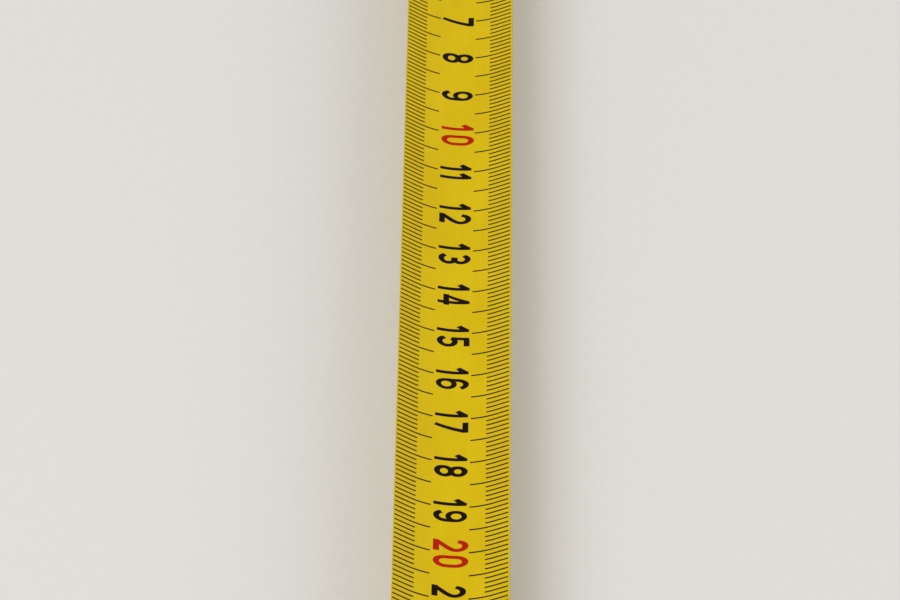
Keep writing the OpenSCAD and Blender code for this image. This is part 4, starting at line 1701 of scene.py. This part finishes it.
SIX = (Stroke(arc((0.345, 0.655), (0.25, 0.256), 22, 180) + ((0.095, 0.5), (0.09, 0.34))),
       Stroke(ring(arc((0.34, 0.319), (0.25, 0.238), 0, 360, 28)), 0.162, 0.162, True))
NUMERALS: dict[str, tuple[Stroke, ...]] = {
    "0": (Stroke(ring(arc((0.34, 0.64), (0.25, 0.271), 0, 180), arc((0.34, 0.36), (0.25, 0.271), 180, 360),
                      ((0.59, 0.64),)), closed=True),),
    "1": (Stroke(((0.59, 0.0), (0.59, 0.985))), Stroke(((0.305, 0.665), (0.56, 0.87)), 0.17, 0.21)),
    "2": (Stroke(arc((0.335, 0.665), (0.25, 0.246), 172, -28) + ((0.44, 0.41), (0.25, 0.24), (0.12, 0.1))),
          Stroke(((0.035, 0.089), (0.655, 0.089)))),
    "3": (Stroke(arc((0.33, 0.7), (0.235, 0.211), 158, -80) + ((0.24, 0.492),)),
          Stroke(((0.24, 0.518),) + arc((0.33, 0.3), (0.255, 0.211), 78, -158))),
    "4": (Stroke(((0.505, 0.0), (0.505, 0.985))), Stroke(((0.0, 0.27), (0.68, 0.27))),
          Stroke(((0.075, 0.25), (0.47, 0.93)), 0.16, 0.16)),
    "5": (Stroke(((0.13, 0.911), (0.62, 0.911))), Stroke(((0.165, 0.97), (0.125, 0.45)), 0.178, 0.16),
          Stroke(arc((0.335, 0.325), (0.255, 0.236), 145, -162))),
    "6": SIX,
    "7": (Stroke(((0.04, 0.911), (0.655, 0.911))), Stroke(((0.57, 0.9), (0.22, 0.0)), 0.19, 0.17)),
    "8": (Stroke(ring(arc((0.34, 0.71), (0.228, 0.201), 0, 360, 28)), closed=True),
          Stroke(ring(arc((0.34, 0.298), (0.251, 0.209), 0, 360, 28)), closed=True)),
    "9": tuple(Stroke(tuple((0.68 - x, 1 - y) for x, y in s.line), s.start, s.end, s.closed) for s in SIX),
}


@dataclass(frozen=True)
class Lettering:
    """Sizes of one set of numerals, in millimetres."""

    height: float
    width: float
    advance: float  # from one digit to the next
    bearing: float  # from the number's tick to the middle of its digits
    double_one: float = 0  # move of the second digit of 11
    leading_one: float = 0  # move of a one that leads
    lift: float = 0  # across the blade

    def starts(self, text: str) -> list[float]:
        """Gives where each digit starts, counted from the number's own tick.

        Args:
            text: The number.

        Returns:
            One distance for each digit.
        """
        starts = [(i - len(text) / 2) * self.advance + self.bearing for i in range(len(text))]
        if text.startswith("1") and len(text) > 1:
            starts[0] += self.leading_one
        if text == "11":
            starts[1] += self.double_one
        return starts


@dataclass
class Scale(Assembly):
    """Centimetre numerals and millimetre ticks along both edges of the blade, counted from the hook."""

    dish: Dish
    zero: float
    ink: float = 0.012
    tick_width: float = 0.28
    short_from: float = 5.58
    long_from: float = 3.06
    half: float = 9.5
    margin: float = 0.18
    shift: float = 0.15  # of all ticks across the blade
    bend_step: float = 0.5  # longest side across the blade, so that the print can bend
    units: Lettering = Lettering(height=5.34, width=3.77, advance=3.61, bearing=0.7, double_one=-1.38,
                                 lift=0.12)
    tens: Lettering = Lettering(height=5.55, width=3.85, advance=3.41, bearing=0.58, leading_one=-0.49,
                                lift=-0.06)
    glyphs: dict[str, bpy.types.Mesh] = field(default_factory=dict)

    def ticks(self, first: int, last: int) -> bmesh.types.BMesh:
        """Draws the ticks flat, in millimetres.

        Args:
            first: First millimetre of the scale.
            last: Last millimetre.

        Returns:
            The mesh.
        """
        bm = bmesh.new()
        for count in range(first, last + 1):
            start = self.long_from if count % 5 == 0 else self.short_from
            for side in (-1, 1):
                low, high = start + side * self.shift, self.half - self.margin + side * self.shift / 2
                tick = bmesh.ops.create_grid(bm, x_segments=1,
                                             y_segments=round((high - low) / self.bend_step), size=0.5)
                place(bm, Matrix.Translation((self.zero - count, side * (low + high) / 2, 0))
                      @ Matrix.Diagonal((self.tick_width, high - low, 1, 1)), tick["verts"])
        return bm

    def glyph(self, digit: str) -> bpy.types.Mesh:
        """Draws one numeral flat in a box one unit high, cut across so that it can bend.

        Args:
            digit: The numeral.

        Returns:
            Its mesh.
        """
        if digit in self.glyphs:
            return self.glyphs[digit]
        whole = None
        for stroke in NUMERALS[digit]:
            bm = stroke.mesh()
            thicken(bm, (0, 0, 1))
            part = publish(f"numeral_{digit}", bm)
            if whole:
                carve(whole, part, Carve.JOIN)
            else:
                whole = part
        bm = bmesh.new()
        bm.from_mesh(whole.data)
        bpy.data.objects.remove(whole)
        below = [face for face in bm.faces if face.normal.z <= 0.9 or face.calc_center_median().z <= 0.5]
        bmesh.ops.delete(bm, geom=below, context="FACES")
        place(bm, Matrix.Translation((0, 0, -1)))
        cuts = round(self.units.height / self.bend_step)
        for k in range(1, cuts):
            split(bm, (0, k / cuts, 0), (0, 1, 0))
        self.glyphs[digit] = cast(f"numeral_{digit}", bm)
        return self.glyphs[digit]

    def numerals(self, first: int, last: int, tens: bool) -> bmesh.types.BMesh:
        """Draws the centimetre numerals flat, in millimetres, read towards the case.

        Args:
            first: First centimetre.
            last: Last centimetre.
            tens: Whether the tens are drawn, or all the others.

        Returns:
            The mesh.
        """
        bm = bmesh.new()
        style = self.tens if tens else self.units
        for count in range(first, last + 1):
            if (count % 10 == 0) is not tens:
                continue
            for digit, start in zip(str(count), style.starts(str(count))):
                at = Matrix.Translation((self.zero - 10 * count - start, style.height / 2 + style.lift, 0))
                stamp(bm, self.glyph(digit), at @ Matrix.Diagonal((-style.width, -style.height, 1, 1)))
        return bm

    def lay(self, name: str, bm: bmesh.types.BMesh, finish: Finish, low: float,
            high: float) -> bpy.types.Object:
        """Trims flat print to a stretch of the blade, gives it the ink's thickness and bends it.

        Args:
            name: Name of the piece.
            bm: Flat print in millimetres.
            finish: Its ink.
            low: X where the stretch starts.
            high: X where it ends.

        Returns:
            The dressed print.
        """
        for at, outwards in ((low, -1), (high, 1)):
            split(bm, (at, 0, 0), (outwards, 0, 0), trim=True)
        for face in bm.faces:
            if face.normal.z < 0:
                face.normal_flip()
        place(bm, Matrix.Translation((0, 0, self.dish.thick - self.ink / 2)))
        thicken(bm, (0, 0, self.ink))
        self.dish.bend(bm)
        bmesh.ops.triangulate(bm, faces=[face for face in bm.faces if len(face.verts) > 4])
        return self.hand_over(publish(name, bm), finish, Body.CASE, "blade_paint")


@dataclass
class Blade(Assembly):
    """Lacquered blade from the spool to the hook."""

    hook: EndHook
    width: float = 19
    chamfer: float = 2.1
    across: int = 44  # segments
    rows_inside: int = 36
    rows_outside: int = 4
    tip_gap: float = 0.3
    guide_gap: float = 0.1
    front: float = field(init=False)
    tip: float = field(init=False)
    inner_end: float = field(init=False)
    dish: Dish = field(init=False)

    def __post_init__(self) -> None:
        """Reads the blade's place from the frame."""
        self.front = corner("case_left", True).x
        self.inner_end = corner("blade", False).x
        self.tip = corner("blade", True).x - self.tip_gap
        self.dish = Dish(self.inner_end, corner("blade_guide", False).x - self.guide_gap)

    @property
    def kept(self) -> float:
        """Share of its length that the outer stretch keeps when the blade is drawn in.

        Returns:
            The share, from 0 to 1.
        """
        slide = next(joint for joint in frame["joints"] if joint["name"] == "blade_slide")
        length = self.tip - self.front
        return (length - abs(slide["range_m"][0]) / MM) / length

    def strip(self, name: str, low: float, high: float, rows: int, tip: bool) -> bpy.types.Object:
        """Rolls one stretch of the blade.

        Args:
            name: Name of the piece.
            low: X where it starts.
            high: X where it ends.
            rows: Segments along it.
            tip: Whether its end has cut corners.

        Returns:
            The dressed stretch.
        """
        bm = bmesh.new()
        bmesh.ops.create_grid(bm, x_segments=rows, y_segments=self.across, size=0.5)
        place(bm, Matrix.Translation(((low + high) / 2, 0, 0))
              @ Matrix.Diagonal((high - low, self.width, 1, 1)))
        if tip:
            for side in (-1, 1):
                split(bm, (high - self.chamfer, side * self.width / 2, 0), (1, side, 0), trim=True)
        thicken(bm, (0, 0, self.dish.thick))
        self.dish.bend(bm)
        strip = publish(name, bm)
        soften(strip, 0, angle=50)
        return self.hand_over(strip, BLADE_YELLOW, Body.CASE, "blade_paint", ["blade"])

    def draw_in(self, piece: bpy.types.Object) -> None:
        """Gives a piece of the outer stretch a mesh of its own."""
        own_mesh(piece)

    def marks(self, scale: Scale, where: str, low: float, high: float) -> list[bpy.types.Object]:
        """Prints the black part of the scale on one stretch of the blade.

        Args:
            scale: The scale.
            where: Last word of the pieces' names.
            low: X where the stretch starts.
            high: X where it ends.

        Returns:
            The dressed ticks and numerals.
        """
        first, last = max(int(scale.zero - high), 1), int(scale.zero - low)
        ticks = scale.lay(f"ticks_{where}", scale.ticks(first, last), INK_BLACK, low, high)
        numerals = scale.numerals(max(first // 10, 1), last // 10 + 1, False)
        return [ticks, scale.lay(f"numerals_{where}", numerals, INK_BLACK, low, high)]

    def build(self) -> None:
        """Builds the blade and its print, inside and outside the case."""
        self.strip("blade_inside", self.inner_end, self.front, self.rows_inside, False)
        self.draw_in(self.strip("blade_outside", self.front, self.tip, self.rows_outside, True))
        scale = Scale(self.dish, self.hook.zero)
        marks = self.marks(scale, "outside", self.front, self.tip)
        tens = scale.numerals(1, int(scale.zero - self.front) // 10, True)
        marks.append(scale.lay("tens_outside", tens, INK_RED, self.front, self.tip))
        for mark in marks:
            self.draw_in(mark)
        self.marks(scale, "inside", self.inner_end, self.front)


# ---------------------------------------------------------------- inner parts and studio


@dataclass
class InnerParts:
    """Nodes of the frame whose solids stay, and their finishes."""

    finishes: dict[str, Finish] = field(default_factory=lambda: {
        "centre_post": POST_STEEL, "spool_drum": SPOOL_ACETAL, "spool_cover": SPOOL_ACETAL,
        "spool_washers": WASHER_NYLON, "return_spring": SPRING_STEEL, "blade_coil": BLADE_YELLOW,
        "lock_shoe": SHOE_RUBBER, "blade_guide": SADDLE_NYLON, "clip_insert": INSERT_BRASS})

    def dress(self) -> None:
        """Gives each node its finish."""
        for name, finish in self.finishes.items():
            node = frame["nodes"][name]
            for holder in node.material_slots:
                holder.material = finish.material()
            LOG.info("%s: %s", name, finish.name)


@dataclass(frozen=True)
class Softbox:
    """Square lamp, in metres and watts."""

    name: str
    at: Corner
    target: Corner
    size: float
    power: float

    def switch_on(self) -> None:
        """Hangs the lamp, facing its target."""
        light = bpy.data.lights.new(self.name, "AREA")
        light.shape = "SQUARE"
        light.size = self.size
        light.energy = self.power
        lamp = hang(self.name, light)
        lamp.location = self.at
        lamp.rotation_euler = (Vector(self.target) - Vector(self.at)).to_track_quat("-Z", "Y").to_euler()


@dataclass
class Studio:
    """Floor, lamps, surroundings and camera."""

    eye: Corner = (-414.6, 35.5, 556.0)
    heading: float = -3.2254  # degrees
    tilt: float = 41.478
    roll: float = 5.9
    lens: float = 205.3
    sensor: float = 36
    sky: float = 0.62
    backdrop: float = 0.85
    floor_size: float = 12  # metres
    floor_at: Corner = (0.15, 0, -0.00005)
    key: Softbox = Softbox("key_softbox", at=(-0.25, 0.75, 1.1), target=(0.15, 0, 0), size=0.9, power=9)
    fill: Softbox = Softbox("fill_softbox", at=(0.55, -0.95, 0.8), target=(0.12, 0, 0.02), size=1, power=4)

    def floor(self) -> None:
        """Lays the pale board."""
        bm = bmesh.new()
        bmesh.ops.create_grid(bm, x_segments=1, y_segments=1, size=self.floor_size / 2)
        place(bm, Matrix.Translation(self.floor_at))
        floor = hang("studio_floor", cast("studio_floor", bm))
        floor.data.materials.append(BOARD.material())

    def surroundings(self) -> None:
        """Sets a plain soft sky, which the camera and glossy surfaces see as pale as the floor."""
        world = bpy.data.worlds.new("studio")
        bpy.context.scene.world = world
        world.use_nodes = True
        tree = world.node_tree
        tree.nodes.clear()
        path = add(tree, "ShaderNodeLightPath")
        seen = add(tree, "ShaderNodeMath", {"operation": "MAXIMUM"}, {
            0: path.outputs["Is Camera Ray"], 1: path.outputs["Is Glossy Ray"]})
        seen = add(tree, "ShaderNodeMath", {"operation": "MAXIMUM"}, {
            0: seen.outputs[0], 1: path.outputs["Is Transmission Ray"]})
        strength = add(tree, "ShaderNodeMapRange", inputs={
            "Value": seen.outputs[0], "To Min": self.sky, "To Max": self.backdrop})
        sky = add(tree, "ShaderNodeBackground", inputs={
            "Color": srgb("FAFAF8"), "Strength": strength.outputs[0]})
        add(tree, "ShaderNodeOutputWorld", inputs={"Surface": sky.outputs[0]})

    def camera(self) -> None:
        """Sets the camera up."""
        heading, tilt, roll = (math.radians(a) for a in (self.heading, self.tilt, self.roll))
        level = math.cos(tilt)
        ahead = Vector((level * math.cos(heading), level * math.sin(heading), -math.sin(tilt)))
        right = ahead.cross(Vector((0, 0, 1))).normalized()
        up = right.cross(ahead)
        side = right * math.cos(roll) + up * math.sin(roll)
        top = up * math.cos(roll) - right * math.sin(roll)
        data = bpy.data.cameras.new("camera")
        data.lens = self.lens
        data.sensor_width = self.sensor
        data.clip_start = 0.01
        data.clip_end = 100
        camera = hang("camera", data)
        turn = Matrix((side, top, -ahead)).transposed().to_4x4()
        camera.matrix_world = Matrix.Translation(Vector(self.eye) * MM) @ turn
        bpy.context.scene.camera = camera

    def build(self) -> None:
        """Builds the studio."""
        bpy.context.scene.view_settings.view_transform = "Standard"
        self.camera()
        self.floor()
        self.surroundings()
        self.key.switch_on()
        self.fill.switch_on()


def main() -> None:
    """Builds the part and its studio."""
    logging.basicConfig(level=logging.INFO, format="%(message)s")
    Studio().build()
    case = Case()
    case.build()
    Screws(case).build()
    Lock(case).build()
    hook = EndHook()
    hook.build()
    BeltClip().build()
    Blade(hook).build()
    InnerParts().dress()


if __name__ == "__main__":
    main()
